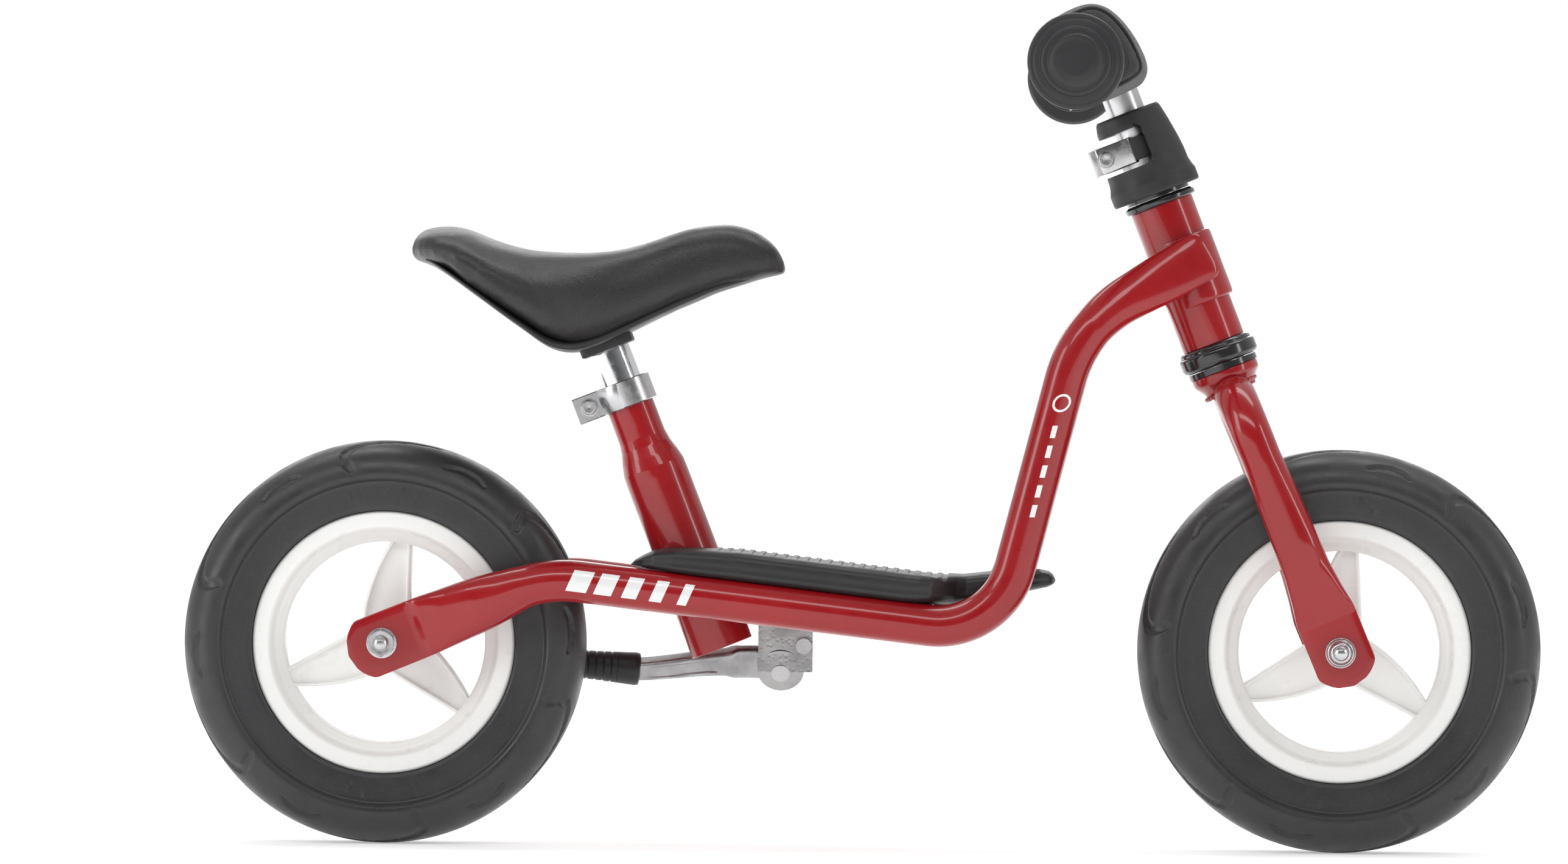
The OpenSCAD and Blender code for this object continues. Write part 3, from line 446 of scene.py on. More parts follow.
def satin_steel(colours):
    return metal("satin_steel", shade(tuple(colours.steel), 1.08), 0.3, 0.05, (1, 1, 0.1))


def chrome(colours):
    return metal("chrome", (0.86, 0.87, 0.89), 0.1, 0.01)


def cast_aluminium(colours):
    """Tumbled casting: soft pits and a dull sheen that brightens on worn ground."""
    f = Finish("cast_aluminium", Metallic=1.0)
    cloud = f.spread(f.noise(45, 5, 0.6), 0.32, 0.68)
    f.colour(f.mix(cloud, (0.34, 0.34, 0.35), (0.5, 0.5, 0.5)))
    f.rough(f.spread(f.noise(120, 4), 0.3, 0.7, 0.3, 0.5))
    pits = f.spread(f.cells(420), 0.05, 0.5)
    f.bump(f.maths("ADD", pits, f.noise(260, 5)), 0.14, 0.0004)
    return f.material


def moulded(name, colour, rough, grain, depth, coat=0.0):
    """Moulded plastic or rubber with a fine spark-eroded grain and a little colour variation."""
    f = Finish(name, Coat_Weight=coat, Coat_Roughness=0.12)
    cloud = f.spread(f.noise(22, 4), 0.3, 0.7)
    f.colour(f.mix(cloud, shade(colour, 0.88), shade(colour, 1.12)))
    f.rough(f.spread(f.noise(90, 4), 0.3, 0.7, rough - 0.05, rough + 0.07))
    f.bump(f.noise(grain, 3, 0.6), depth, 0.0004)
    return f.material


def tyre_rubber(colours):
    """Foam rubber: a satin skin with fine moulding grain, dust grey where it is dry."""
    base = tuple(colours.tyre)
    f = Finish("tyre_rubber", Sheen_Weight=0.03, Sheen_Roughness=0.5, Specular_IOR_Level=0.6)
    cloud = f.spread(f.noise(18, 5, 0.6), 0.3, 0.72)
    speck = f.spread(f.noise(700, 2), 0.5, 0.75)
    f.colour(f.mix(f.maths("MULTIPLY", speck, 0.35), f.mix(cloud, shade(base, 0.85), shade(base, 1.2)),
                   shade(base, 1.9)))
    f.rough(f.spread(f.noise(70, 4), 0.3, 0.7, 0.34, 0.5))
    f.bump(f.maths("ADD", f.noise(1100, 2), f.maths("MULTIPLY", f.noise(160, 4), 0.5)), 0.16, 0.0004)
    return f.material


def soft_rubber(colours):
    return moulded("soft_rubber", tuple(colours.rubber), 0.46, 950, 0.12)


def matt_black(colours):
    return moulded("matt_black", tuple(colours.plastic), 0.5, 1300, 0.2)


def gloss_black(colours):
    return moulded("gloss_black", (0.012, 0.012, 0.013), 0.18, 300, 0.02, coat=0.6)


def board_plastic(colours):
    return moulded("board_plastic", tuple(colours.plastic), 0.42, 900, 0.22)


def white_plastic(colours):
    """Glossy white nylon with a very faint cloud in its colour."""
    white = tuple(colours.rim)
    f = Finish("white_plastic", Coat_Weight=0.15, Coat_Roughness=0.2)
    cloud = f.spread(f.noise(20, 3), 0.3, 0.7)
    f.colour(f.mix(cloud, shade(white, 0.985), shade(white, 1.01)))
    f.rough(f.spread(f.noise(80, 4), 0.3, 0.7, 0.26, 0.36))
    f.bump(f.noise(500, 2), 0.03, 0.0003)
    return f.material


def leatherette(colours):
    """Grained vinyl: small flat cells between creases, over a soft wave, with painted shade darkening the
    creases.
    """
    base = tuple(colours.saddle)
    f = Finish("saddle_leatherette", Coat_Weight=0.12, Coat_Roughness=0.35, Specular_IOR_Level=0.5)
    crease = f.spread(f.cells(620, "DISTANCE_TO_EDGE"), 0.0, 0.16)
    cloud = f.spread(f.noise(16, 4), 0.3, 0.7)
    # painted shade: the colour falls to 0.7 of the base in the creases, the same low places that the bump
    # sinks
    f.colour(f.mix(crease, shade(base, 0.7), f.mix(cloud, shade(base, 0.9), shade(base, 1.15))))
    f.rough(f.spread(f.noise(60, 4), 0.3, 0.7, 0.36, 0.46))
    f.bump(f.maths("ADD", crease, f.maths("MULTIPLY", f.noise(900, 2), 0.35)), 0.2, 0.0004)
    return f.material


def knit(colours):
    """Ribbed knit: rows of small loops that run round the pad, fuzzy at the edges, with painted shade
    darkening the gaps between the loops.
    """
    base = tuple(colours.fabric)
    f = Finish("pad_fabric", Sheen_Weight=0.35, Sheen_Roughness=0.6, Roughness=0.92)
    x, y, z = f.axes()
    course = f.maths("SINE", f.maths("MULTIPLY", y, 2 * math.pi / 0.0011))
    slope = f.maths("ADD", z, f.maths("MULTIPLY", x, 0.6))
    wale = f.maths("SINE", f.maths("MULTIPLY_ADD", slope, 2 * math.pi / 0.0014,
                                   f.maths("MULTIPLY", course, 1.2)))
    loops = f.maths("MULTIPLY", f.maths("ABSOLUTE", course), f.maths("ABSOLUTE", wale))
    fuzz = f.noise(1500, 3, 0.7)
    cloud = f.spread(f.noise(30, 4), 0.3, 0.7)
    # painted shade: the colour falls to 0.55 of the base between the loops, the same low places that the bump
    # sinks
    f.colour(f.mix(loops, shade(base, 0.55), f.mix(cloud, shade(base, 1.0), shade(base, 1.5))))
    f.bump(f.maths("ADD", loops, f.maths("MULTIPLY", fuzz, 0.5)), 0.5, 0.0006)
    return f.material


FINISHES = {
    "red_lacquer": red_lacquer,
    "marked_lacquer": lambda colours: red_lacquer(colours, main_tube_marks),
    "zinc_steel": zinc_steel,
    "satin_steel": satin_steel,
    "chrome": chrome,
    "cast_aluminium": cast_aluminium,
    "tyre_rubber": tyre_rubber,
    "soft_rubber": soft_rubber,
    "matt_black": matt_black,
    "gloss_black": gloss_black,
    "board_plastic": board_plastic,
    "white_plastic": white_plastic,
    "leatherette": leatherette,
    "knit": knit,
}


# ---- Sizes and colours that a user would change


def colour_setting(name, description, default):
    """A colour that a user can change."""
    return bpy.props.FloatVectorProperty(
        name=name, description=description, default=default, subtype="COLOR", size=3, min=0, max=1
    )


class BikeColours(bpy.types.PropertyGroup):
    lacquer: colour_setting("Lacquer", "Powder coat of the frame and fork", (0.33, 0.0035, 0.007))
    print_white: colour_setting("Print", "Printed bars on the frame", (0.85, 0.85, 0.85))
    rim: colour_setting("Rims", "Moulded rims and spokes", (0.9, 0.9, 0.88))
    tyre: colour_setting("Tyres", "Foam rubber of the tyres", (0.021, 0.021, 0.023))
    rubber: colour_setting("Rubber", "Grips and the kickstand's foot", (0.015, 0.015, 0.017))
    plastic: colour_setting("Plastic", "Footboard and steering cover", (0.019, 0.019, 0.021))
    saddle: colour_setting("Saddle", "Leatherette of the saddle", (0.017, 0.017, 0.018))
    fabric: colour_setting("Fabric", "Knitted cover of the handlebar pad", (0.014, 0.014, 0.016))
    steel: colour_setting("Steel", "Zinc plated bolts, nuts and clamps", (0.6, 0.6, 0.61))


class BikeSizes(bpy.types.PropertyGroup):
    groove_depth: bpy.props.FloatProperty(
        name="Groove depth", description="Depth of the tread grooves", default=1.3 * MM, unit="LENGTH"
    )
    grooves: bpy.props.IntProperty(
        name="Grooves", description="Tread grooves of each kind round a shoulder", default=6, min=3, max=12
    )
    spokes: bpy.props.IntProperty(name="Spokes", description="Spokes in each wheel", default=3, min=3, max=5)
    grip_ribs: bpy.props.IntProperty(name="Grip ribs", description="Ribs on each grip", default=17, min=4,
                                     max=24)
    board_ribs: bpy.props.IntProperty(name="Board ribs", description="Ribs on the tread", default=21, min=5,
                                      max=40)
    edge: bpy.props.FloatProperty(
        name="Edge", description="Rounding of turned and cut edges", default=0.4 * MM, unit="LENGTH"
    )


def sizes():
    """The sizes that a user can change."""
    return bpy.context.scene.bike_sizes


# ---- Frame

TUBE_R = 11.1
STAY_Y = 40.0
PLATE_Y, PLATE_T, PLATE_H = 30.0, 4.5, 32.4
PLATE_MID = PLATE_Y + PLATE_T / 2
PLATE_END = PLATE_H / 2 + 2.6
END_STEPS = np.array([PLATE_END - 0.02, PLATE_END - 0.3, PLATE_END - 1, PLATE_END - 2, PLATE_END - 4, 11,
                      9.0])
PLATE_ROUND = [
    [PLATE_END - d, min(PLATE_H / 2, math.sqrt(PLATE_END**2 - d * d))] for d in END_STEPS
]
HEAD_R, LUG_R = 17.0, 19.5


def beside(origin, x, z, y):
    """A point in millimetres, x ahead of and z above a place, at the distance y from the middle plane."""
    return [origin[0] / MM + x, y, origin[2] / MM + z]


def main_path():
    """From the rear axle forward under the footboard, up to the head tube."""
    plate = beside(REAR, 0, 0, PLATE_MID)
    rise = beside(REAR, 87.5, 35.8, STAY_Y)
    low = beside(FRONT, -181.9, 8.3, STAY_Y)
    high = beside(HEAD.origin, -71.5, 8.9, STAY_Y - 1.5)
    join = beside(HEAD.origin, -15.7, 41.2, LUG_R + 4.4)
    plate, rise, low, high, join = (np.array(p) for p in (plate, rise, low, high, join))
    back = (rise - plate) * [1, 0, 1]
    back /= np.linalg.norm(back)
    tail = plate - back * (PLATE_END - 0.02)
    neck = plate + back * 22
    nose = join + (join - high) / np.linalg.norm(join - high) * 14
    return resampled(rounded_path([tail, neck, rise, low, high, nose], [14, 70, 42, 70]), 1.8)


def main_tube(side):
    """The main path with a section that is flat at the axle, round along the run and tall at the head."""
    path, s = main_path()
    e, end = PLATE_END - 0.02, s[-1]
    high = [*PLATE_ROUND, [e + 26, PLATE_H / 2 - 0.2], [e + 60, 14.5], [e + 84, TUBE_R], [end - 75, TUBE_R],
            [end - 30, 13.3], [end - 3, 13.3], [end - 1, 12.6], [end, 11.2]]
    wide = [[0, PLATE_T / 2 - 0.4], [1, PLATE_T / 2], [e + 20, PLATE_T / 2], [e + 23.5, 5.6], [e + 34, 7.4],
            [e + 55, 9.8], [e + 84, TUBE_R], [end - 75, TUBE_R], [end - 34, 6.5], [end - 14, 4.3],
            [end - 2, 3.2], [end, 2.4]]
    square = [[0, 9], [e + 20, 9], [e + 25, 5], [e + 40, 3], [e + 70, 2], [end - 60, 2], [end - 20, 2.8],
              [end, 3]]
    rings = swept(path, s, high, wide, square, 56) * np.array([1, side, 1])
    return capped(rings * MM)


def weld_bead(axes, radius, height, lean, thick, waves):
    """A weld bead: a thin ring that ripples along its length, tipped by lean."""
    u = np.linspace(0, 2 * math.pi, 160, endpoint=False)[:, None]
    v = np.linspace(0, 2 * math.pi, 10, endpoint=False)[None, :]
    t = thick * (1 + 0.16 * np.sin(u * waves))
    r = radius + t * np.cos(v)
    z = height + t * 0.8 * np.sin(v) + r * np.cos(u) * lean
    local = np.stack([r * np.cos(u), r * np.sin(u), z], -1)
    return grid(axes.put(local), round_rows=True)


def build_frame():
    """Two main tubes, the head tube with its sleeve, and the seat tube turned from its stepped profile."""
    for side, word in ((1, "left"), (-1, "right")):
        piece(f"main_tube_{word}_lacquer", [main_tube(side)], paint("marked_lacquer"), "frame",
              [f"main_tube_{word}"], crease=50)
    soft = sizes().edge / MM
    piece("head_tube_lacquer", [turned([[15, 0], [HEAD_R, 0], [HEAD_R, 79], [15, 79]], HEAD, 128, soft)],
          paint("red_lacquer"), "frame", ["head_tube"])
    lug = [[HEAD_R - 0.5, 22], [LUG_R - 0.6, 22], [LUG_R, 24], [LUG_R, 57], [LUG_R - 0.6, 59],
           [HEAD_R - 0.5, 59]]

    def wrap(angle, radius, height):
        """The sleeve is thick over the front half and thins away behind."""
        turn = np.abs((np.degrees(angle) + 180) % 360 - 180)
        share = np.clip((128 - turn) / 46, 0, 1)
        share = share * share * (3 - 2 * share)
        return np.where(radius > HEAD_R, HEAD_R - 0.4 + (radius - HEAD_R + 0.4) * share, radius - 0.4)

    piece("head_lug_lacquer", [turned(lug, HEAD, 160, 1.6, wrap)], paint("red_lacquer"), "frame",
          ["head_lug"])
    seat_tube = [[15.5, 0], [17, 0], [17, 98], [16.8, 103], [15.4, 109], [13.6, 115], [12.8, 120],
                 [12.7, 126], [12.7, 151], [11.2, 151], [11.2, 120], [14, 104], [15.5, 98]]
    piece("seat_tube_lacquer", [turned(seat_tube, SEAT, 128, 0.6)], paint("red_lacquer"), "frame",
          ["seat_tube"])
    cad_finish(["seat_bridge_left", "seat_bridge_right", "front_bridge"], paint("red_lacquer"))
    cad_finish(["board_screw_left", "board_screw_right"], paint("zinc_steel"))


# ---- Footboard: rounded sections along the long run of the tubes


def run_axes():
    """Axes along the straight run of the main tubes, and the length of that run in millimetres."""
    rear = REAR + np.array([87.5, 0, 35.8]) * MM
    front = FRONT + np.array([-181.9, 0, 8.3]) * MM
    length = np.linalg.norm(front - rear) / MM
    return Axes(rear, front - rear, np.cross(front - rear, (0, 1, 0))), length


def build_footboard():
    """Each section is a rounded slab between the tread and the skirt; ribs stand on the tread."""
    axes, length = run_axes()
    end = length + 27
    top = [[43, 12.4], [45, 15], [49, 18], [55, 21.6], [64, 24], [80, 25.6], [100, 27], [length - 40, 27],
           [length - 22, 28.4], [length, 33.5], [end - 9, 36], [end - 4, 35.6], [end - 1.5, 34], [end, 31.6]]
    under = [[43, 11.8], [50, 10.6], [60, 9.6], [78, 9], [length - 52, 9], [length - 26, 12],
             [length - 12, 15], [end - 14, 24], [end - 4, 27.4], [end - 1, 29.2], [end, 31]]
    wide = [[43, 20], [45, 30], [49, 38.5], [55, 43.4], [66, 46.6], [80, 47], [length - 44, 47],
            [length - 38, 45],
            [length - 31, 38], [length - 25, 30], [length - 20, 27.7], [end - 8, 27.6], [end - 4, 26],
            [end - 1.5, 23], [end, 18]]
    x = np.concatenate([np.linspace(43, 66, 30), np.linspace(67, length - 46, 420),
                        np.linspace(length - 45, end, 90)])
    pick = lambda table: np.interp(x, *np.array(table).T)[:, None]
    turn = np.linspace(0, 2 * math.pi, 96, endpoint=False)[None, :]
    hi, lo, w = pick(top), pick(under), pick(wide)
    y = w * bulge(np.cos(turn), 7)
    z = (hi + lo) / 2 + (hi - lo) / 2 * bulge(np.sin(turn), 3.6)
    ribs = sizes().board_ribs
    span = np.array([86.0, length - 30.0])
    phase = (x[:, None] - span[0]) / (span[1] - span[0])
    on_top = np.clip((np.sin(turn) - 0.35) * 4, 0, 1) * np.clip((40 - np.abs(y)) / 1.5, 0, 1)
    inside = (phase > 0) & (phase < 1)
    wave = np.clip(np.sin(phase * ribs * 2 * math.pi) * 3, -1, 1) * 0.4 - 0.5
    z = z + np.where(inside, wave, 0) * on_top
    # a shallow crease runs along the skirt
    crease = np.exp(-(((z - (lo + (hi - lo) * 0.42)) / 0.7) ** 2)) * (np.abs(np.cos(turn)) > 0.8)
    y = y - np.sign(y) * crease * 0.7
    inner = np.abs(y) - STAY_Y
    # the underside is hollowed over the tubes
    hollow = np.sqrt(np.clip((TUBE_R + 0.3) ** 2 - inner**2, 0, None))
    z = np.where((np.sin(turn) < 0.2) & (x[:, None] < length - 24),
                 np.maximum(z, np.minimum(hollow, hi - 6)), z)
    local = np.stack([np.broadcast_to(x[:, None], y.shape), y, z], -1)
    piece("footboard_moulding", [capped(axes.put(local))], paint("board_plastic"), "frame",
          ["footboard"], crease=60)


# ---- Wheels

# Tread grooves beside a shoulder: (degrees on from the groove's foot, distance over the tyre from its
# crown, half width)
HOOK = np.array([[0, 30, 2.2], [0.9, 27, 2.6], [1.6, 23, 2.6], [1.0, 19, 2.5], [-1.5, 15, 2.2],
                 [-5, 12.4, 1.9], [-11, 10, 1.5], [-19, 8.4, 1.0], [-27, 7.6, 0.5]])
SWASH = np.array([[0, 24.5, 0.7], [-3, 22.6, 1.5], [-7, 21.8, 1.9], [-10.5, 22.4, 1.7], [-13.4, 24.4, 0.8]])


def tyre_profile():
    """Half of the tyre's section from the bead out to the crown, as (radius, half width)."""
    wall = [[63.1, 15.4], [69.9, 15.4], [70.6, 20.6], [71.4, 21.2], [73, 21.6], [78, 21.9], [83, 22.1],
            [85.4, 22.2], [86.2, 22.9], [87.2, 24.2], [88.4, 24.9]]
    a = np.radians(np.linspace(6, 90, 34))
    shoulder = 88.6
    crown = np.stack([shoulder + (TYRE_R - shoulder) * np.sin(a) ** 0.95, 25 * np.cos(a) ** 0.86], -1)
    return np.concatenate([softened(wall, 0.5, 2, closed=False), crown])


def groove_depth(angle, over, lines, pitch):
    """How deep each point lies in the grooves: 1 in the floor, 0 outside, from its distance to the nearest
    line."""
    deepest = np.zeros(np.broadcast(angle, over).shape)
    for line in lines:
        a, b = line[:-1], line[1:]
        for shift in (-pitch, 0, pitch):
            at = (angle + shift)[..., None]
            scale = math.radians(1) * 104
            dx, dy = (b[:, 0] - a[:, 0]) * scale, b[:, 1] - a[:, 1]
            px, py = (at - a[:, 0]) * scale, over[..., None] - a[:, 1]
            t = np.clip((px * dx + py * dy) / (dx * dx + dy * dy), 0, 1)
            gap = np.hypot(px - t * dx, py - t * dy) - (a[:, 2] + t * (b[:, 2] - a[:, 2]))
            deepest = np.maximum(deepest, np.clip(0.5 - gap.min(-1) / 0.9, 0, 1))
    return deepest * deepest * (3 - 2 * deepest)


def arrow_height(angle, radius):
    """A long raised arrow outline on the side wall, at the top and the foot of the wheel."""
    total = np.zeros(np.broadcast(angle, radius).shape)
    for middle in (90.0, 270.0):
        along_mm = (((middle - angle + 180) % 360) - 180) * math.radians(1) * 77
        up = radius - 78
        head = np.clip((18 - along_mm) / 9, 0, 1) * 4.6
        body = np.where(along_mm > 9, head, 2.6)
        shape = np.maximum(np.abs(up) - body, np.abs(along_mm) - 18)
        line = np.clip(1 - np.abs(shape) / 0.7, 0, 1)
        feather = np.clip(1 - np.abs(np.abs(up) - 1.0) / 0.45, 0, 1) * (np.abs(along_mm + 4) < 12)
        total = np.maximum(total, np.maximum(line, feather))
    return total


def tyre(axes, first_hook, first_swash):
    """The section turned about the axle; grooves sink into both shoulders and arrows stand on the side
    walls."""
    half = tyre_profile()
    profile = np.concatenate([half, half[-2::-1] * [1, -1]])
    s = along(np.stack([profile[:, 0], profile[:, 1], profile[:, 0] * 0], -1))
    crown = s[len(half) - 1]
    steps = 660
    angle = np.linspace(0, 360, steps, endpoint=False)[:, None]
    over = np.abs(s - crown)[None, :]
    pitch = 360 / sizes().grooves
    hooks = (angle - first_hook + pitch / 2) % pitch - pitch / 2
    swashes = (angle - first_swash + pitch / 2) % pitch - pitch / 2
    depth = np.maximum(groove_depth(hooks, over, [HOOK], pitch), groove_depth(swashes, over, [SWASH], pitch))
    edge = np.gradient(profile, axis=0)
    normal = np.stack([-edge[:, 1], edge[:, 0]], -1) * -1
    normal /= np.maximum(np.linalg.norm(normal, axis=1, keepdims=True), 1e-9)
    normal *= np.sign(np.sum(normal * (profile - [86, 0]), 1, keepdims=True))
    push = -depth * sizes().groove_depth / MM
    wall = (profile[:, 0] > 72) & (profile[:, 0] < 85) & (over[0] > 30)
    push = push + arrow_height(angle, profile[None, :, 0]) * 0.35 * wall[None, :]
    r = profile[None, :, 0] + push * normal[None, :, 0]
    y = profile[None, :, 1] + push * normal[None, :, 1]
    turn = np.radians(angle)
    return grid(axes.put(np.stack([r * np.cos(turn), r * np.sin(turn), y], -1)), round_rows=True)


def spoke(axes, turn):
    """A sabre-shaped blade: a straight edge and a curved one, a sunk panel between raised round edges."""
    root, tip_near, tip_r = 13.0, 6.6, 59.0
    y = np.concatenate([np.linspace(4, 52, 60), 52 + 7 * np.sin(np.linspace(0, math.pi / 2, 16)[1:])])
    share = np.clip(y / tip_r, 0, 1)
    near = -root + (tip_near + root) * share**2.2
    far = np.full_like(y, root) + share * 0.8
    round_off = np.clip((y - 55) / 4.0, 0, 1)
    shrink = (1 - np.sqrt(1 - np.clip(round_off, 0, 0.9999) ** 2)) * 3.6
    near, far = near + shrink, far - shrink
    half_w = (far - near) / 2
    rim_mm = 1.9
    across = np.concatenate([[0, 0.25, 0.8, 1.5], [rim_mm, rim_mm + 0.55]])
    lift = np.concatenate([[5.6, 6.6, 7.3, 7.5], [7.3, 5.4]])
    # one side of the section: from the edge in to the panel, then to the other edge
    inset = np.concatenate([across, [4, 8], [8, 4], across[::-1]])
    height = np.concatenate([lift, [5.2, 5.2], [5.2, 5.2], lift[::-1]])
    left = np.concatenate([np.ones(8), -np.ones(8)])
    limit = np.maximum(half_w[:, None] - 0.05, 0.1)
    offset = np.minimum(inset[None, :], limit)
    x_face = np.where(left[None, :] > 0, near[:, None] + offset, far[:, None] - offset)
    flat = np.clip((58.6 - y) / 1.6, 0.0, 1)[:, None] * 0.5 + 0.5
    z_face = np.broadcast_to(height[None, :], x_face.shape) * flat
    x = np.concatenate([x_face, x_face[:, ::-1]], 1)
    z = np.concatenate([z_face, -z_face[:, ::-1]], 1)
    yy = np.broadcast_to(y[:, None], x.shape)
    c, s = math.cos(turn), math.sin(turn)
    local = np.stack([x * c - yy * s, x * s + yy * c, z], -1)
    return capped(axes.put(local))


def rim(axes, turn):
    """A lipped ring with a hollow inner side, its hub and its spokes."""
    half = [[53.5, 0], [53.5, 7.6], [54.6, 9.6], [57.2, 11.6], [58.6, 12.2], [59.6, 15.4], [60.6, 17.9],
            [61.6, 19], [68.8, 19], [70, 17.8], [70, 16], [63, 16], [63, 0]]
    half = np.array(half)
    ring = np.concatenate([half, half[-2:0:-1] * [1, -1]])
    hub = [[6, -20], [12.4, -20], [13.6, -18.6], [15, -6], [15, 6], [13.6, 18.6], [12.4, 20], [6, 20]]
    parts = [turned(ring, axes, 192, 0.8), turned(hub, axes, 96, 0.8)]
    count = sizes().spokes
    parts += [spoke(axes, turn + 2 * math.pi / count * i) for i in range(count)]
    return parts


def build_wheels():
    """A tyre and a rim about each axle."""
    for word, axes, hook, swash, turn in (
        ("rear", REAR_WHEEL, 101.0, 71.0, 0.0),
        ("front", FRONT_WHEEL, 112.0, 82.0, math.radians(4)),
    ):
        body = f"{word}_wheel"
        piece(f"{word}_tyre_foam", [tyre(axes, hook, swash)], paint("tyre_rubber"), body,
              [f"{word}_tyre"], crease=70)
        piece(f"{word}_rim_moulding", rim(axes, turn), paint("white_plastic"), body,
              [f"{word}_rim"], crease=50)
        cad_finish([f"{word}_bearings"], paint("zinc_steel"))


# ---- Axle bolts, nuts and washers


def hexagonal(af, flat_low, flat_high):
    """A shape for turned(): six flats, with both ends chamfered round."""

    def shape(angle, radius, height):
        fold = (np.degrees(angle) + 30) % 60 - 30
        flats = af / 2 / np.cos(np.radians(fold))
        chamfer = af / 2 + 0.25 + 1.6 * np.minimum(height - flat_low, flat_high - height)
        return np.where(radius > af * 0.42, np.minimum(flats, np.maximum(chamfer, af / 2)), radius)

    return shape


def nut(axes, af, low, high, bore):
    """A hexagon turned about the axis, its corners taken down at both ends, with a plain bore."""
    steps = np.linspace(low, high, 9)
    outer = [[af / 2 + 1, z] for z in steps]
    inner = [[bore, high], [bore, low]]
    return turned(outer + inner, axes, 144, 0.05, hexagonal(af, low, high))


def thread(axes, r, low, high, pitch=1.25):
    """A screw thread: rings whose ridge climbs one pitch for each turn."""
    z = np.linspace(low, high, int((high - low) / pitch * 8) + 2)[:, None]
    a = np.linspace(0, 2 * math.pi, 40, endpoint=False)[None, :]
    ridge = 0.5 + 0.5 * np.cos(2 * math.pi * (z / pitch - a / (2 * math.pi)))
    rr = r - 0.35 + 0.35 * ridge
    return capped(axes.put(np.stack([rr * np.cos(a), rr * np.sin(a), np.broadcast_to(z, rr.shape)], -1)))


def build_axles():
    """A bolt, nuts, washers and spacers on each axle, every one turned from its profile."""
    steel = paint("zinc_steel")
    out = PLATE_Y + PLATE_T + 1.6
    dome = [[0, 47.8], [2, 47.4], [3.4, 46.4], [4, 44.9], [4, 40], [0, 40]]
    for word, centre, body in (("rear", REAR, "frame"), ("front", FRONT, "fork")):
        for side, name in ((1, "left"), (-1, "right")):
            axes = Axes(centre, (1, 0, 0), (0, side, 0))
            capped_end = word == "front" and side < 0
            washer = [[4.05, PLATE_Y + PLATE_T], [8.1, PLATE_Y + PLATE_T], [8.1, out], [4.05, out]]
            piece(f"{word}_washer_{name}_steel", [turned(washer, axes, 96, 0.35)], steel, body,
                  [f"{word}_washer_{name}"])
            if capped_end:
                cup = [[4.02, out], [7.4, out], [7.6, out + 0.8], [7.0, out + 1.9], [6.2, out + 2.4],
                       [5.9, out + 4.6], [5.2, out + 5.8], [4.02, out + 6.4]]
                parts = [turned(cup, axes, 96, 0.5)]
            else:
                parts = [nut(axes, 13, out, out + 6.5, 4.02)]
            piece(f"{word}_nut_{name}_steel", parts, steel, body, [f"{word}_nut_{name}"],
                  crease=30)
            spacer = [[4.05, 20.4], [6.2, 20.4], [6.2, PLATE_Y], [4.05, PLATE_Y]]
            piece(f"{word}_spacer_{name}_steel", [turned(spacer, axes, 64, 0.3)], steel, body,
                  [f"{word}_spacer_{name}"])
        left, right = Axes(centre, (1, 0, 0), (0, 1, 0)), Axes(centre, (1, 0, 0), (0, -1, 0))
        middle = [[0, -40], [4, -40], [4, 40], [0, 40]]
        parts = [turned(middle, left, 48, [0, 0.1, 0.1, 0])]
        for axes in (left, right):
            parts += [turned(dome, axes, 48, 0.3), thread(axes, 4.0, 40.2, 45.6)]
        piece(f"{word}_axle_bolt", parts, steel, body, [f"{word}_axle"])


# ---- Fork, headset and steering cover


def blade_path():
    """Out from the crown along the shoulder, then down and a little in, to past the axle."""
    blade_y, shoulder = 38.5, 147.0
    corners = np.array([[0, 12, shoulder], [0, blade_y, shoulder], [0, blade_y, 62], [0, PLATE_MID, 27],
                        [0, PLATE_MID, -(PLATE_END - 0.02)]])
    return resampled(rounded_path(corners, [26, 30, 14]), 1.8)


def fork_blade(side):
    """The blade path with a section that goes from round at the crown to flat at the axle."""
    path, s = blade_path()
    axle = s[-1] - (PLATE_END - 0.02)
    high = [[0, TUBE_R], [axle - 112, TUBE_R - 0.5], [axle - 88, 11.7], [axle - 48, 12.7], [axle - 33, 14.4],
            [axle - 22, PLATE_H / 2], *[[s[-1] - a, b] for a, b in PLATE_ROUND[::-1]]]
    wide = [[0, TUBE_R], [axle - 110, TUBE_R - 0.1], [axle - 85, 9.6], [axle - 50, 7.8], [axle - 28, 5.6],
            [axle - 22, 3.6], [axle - 19, PLATE_T / 2], [s[-1] - 1, PLATE_T / 2], [s[-1], PLATE_T / 2 - 0.4]]
    square = [[0, 2], [axle - 50, 2], [axle - 26, 4], [axle - 19, 9], [s[-1], 9]]
    rings = swept(path, s, high, wide, square, 56, broad=(1, 0, 0)) * np.array([1, side, 1])
    return capped(FORK.put(rings))


def build_fork():
    """Both blades, and the crown and steerer turned about the steering axis."""
    red = paint("red_lacquer")
    for side, word in ((1, "left"), (-1, "right")):
        piece(f"fork_blade_{word}_lacquer", [fork_blade(side)], red, "fork",
              [f"fork_blade_{word}"], crease=50)
    crown = [[10.3, -27.5], [13.6, -27.5], [13.8, -25.5], [14.6, -23.6], [16.2, -21.6], [17.6, -20],
             [18.2, -18.4], [18.2, -14.9], [10.3, -14.9]]
    bar = Axes(FORK.put([0, 0, 147]), (1, 0, 0), (0, 1, 0))
    shoulder = [[0, -14], [TUBE_R, -14], [TUBE_R, 14], [0, 14]]
    piece("fork_crown_lacquer", [turned(crown, HEAD, 128, 0.8), turned(shoulder, bar, 96, [0, 0.2, 0.2, 0]),
                                 weld_bead(HEAD, 13.6, -25.6, 0.1, 1.5, 30)],
          red, "fork", ["fork_crown"])
    tube = [[10.05, -27], [12.7, -27], [12.7, 118], [10.05, 118]]
    piece("steerer_tube", [turned(tube, HEAD, 96, 0.3)], paint("satin_steel"), "fork",
          ["steerer"])


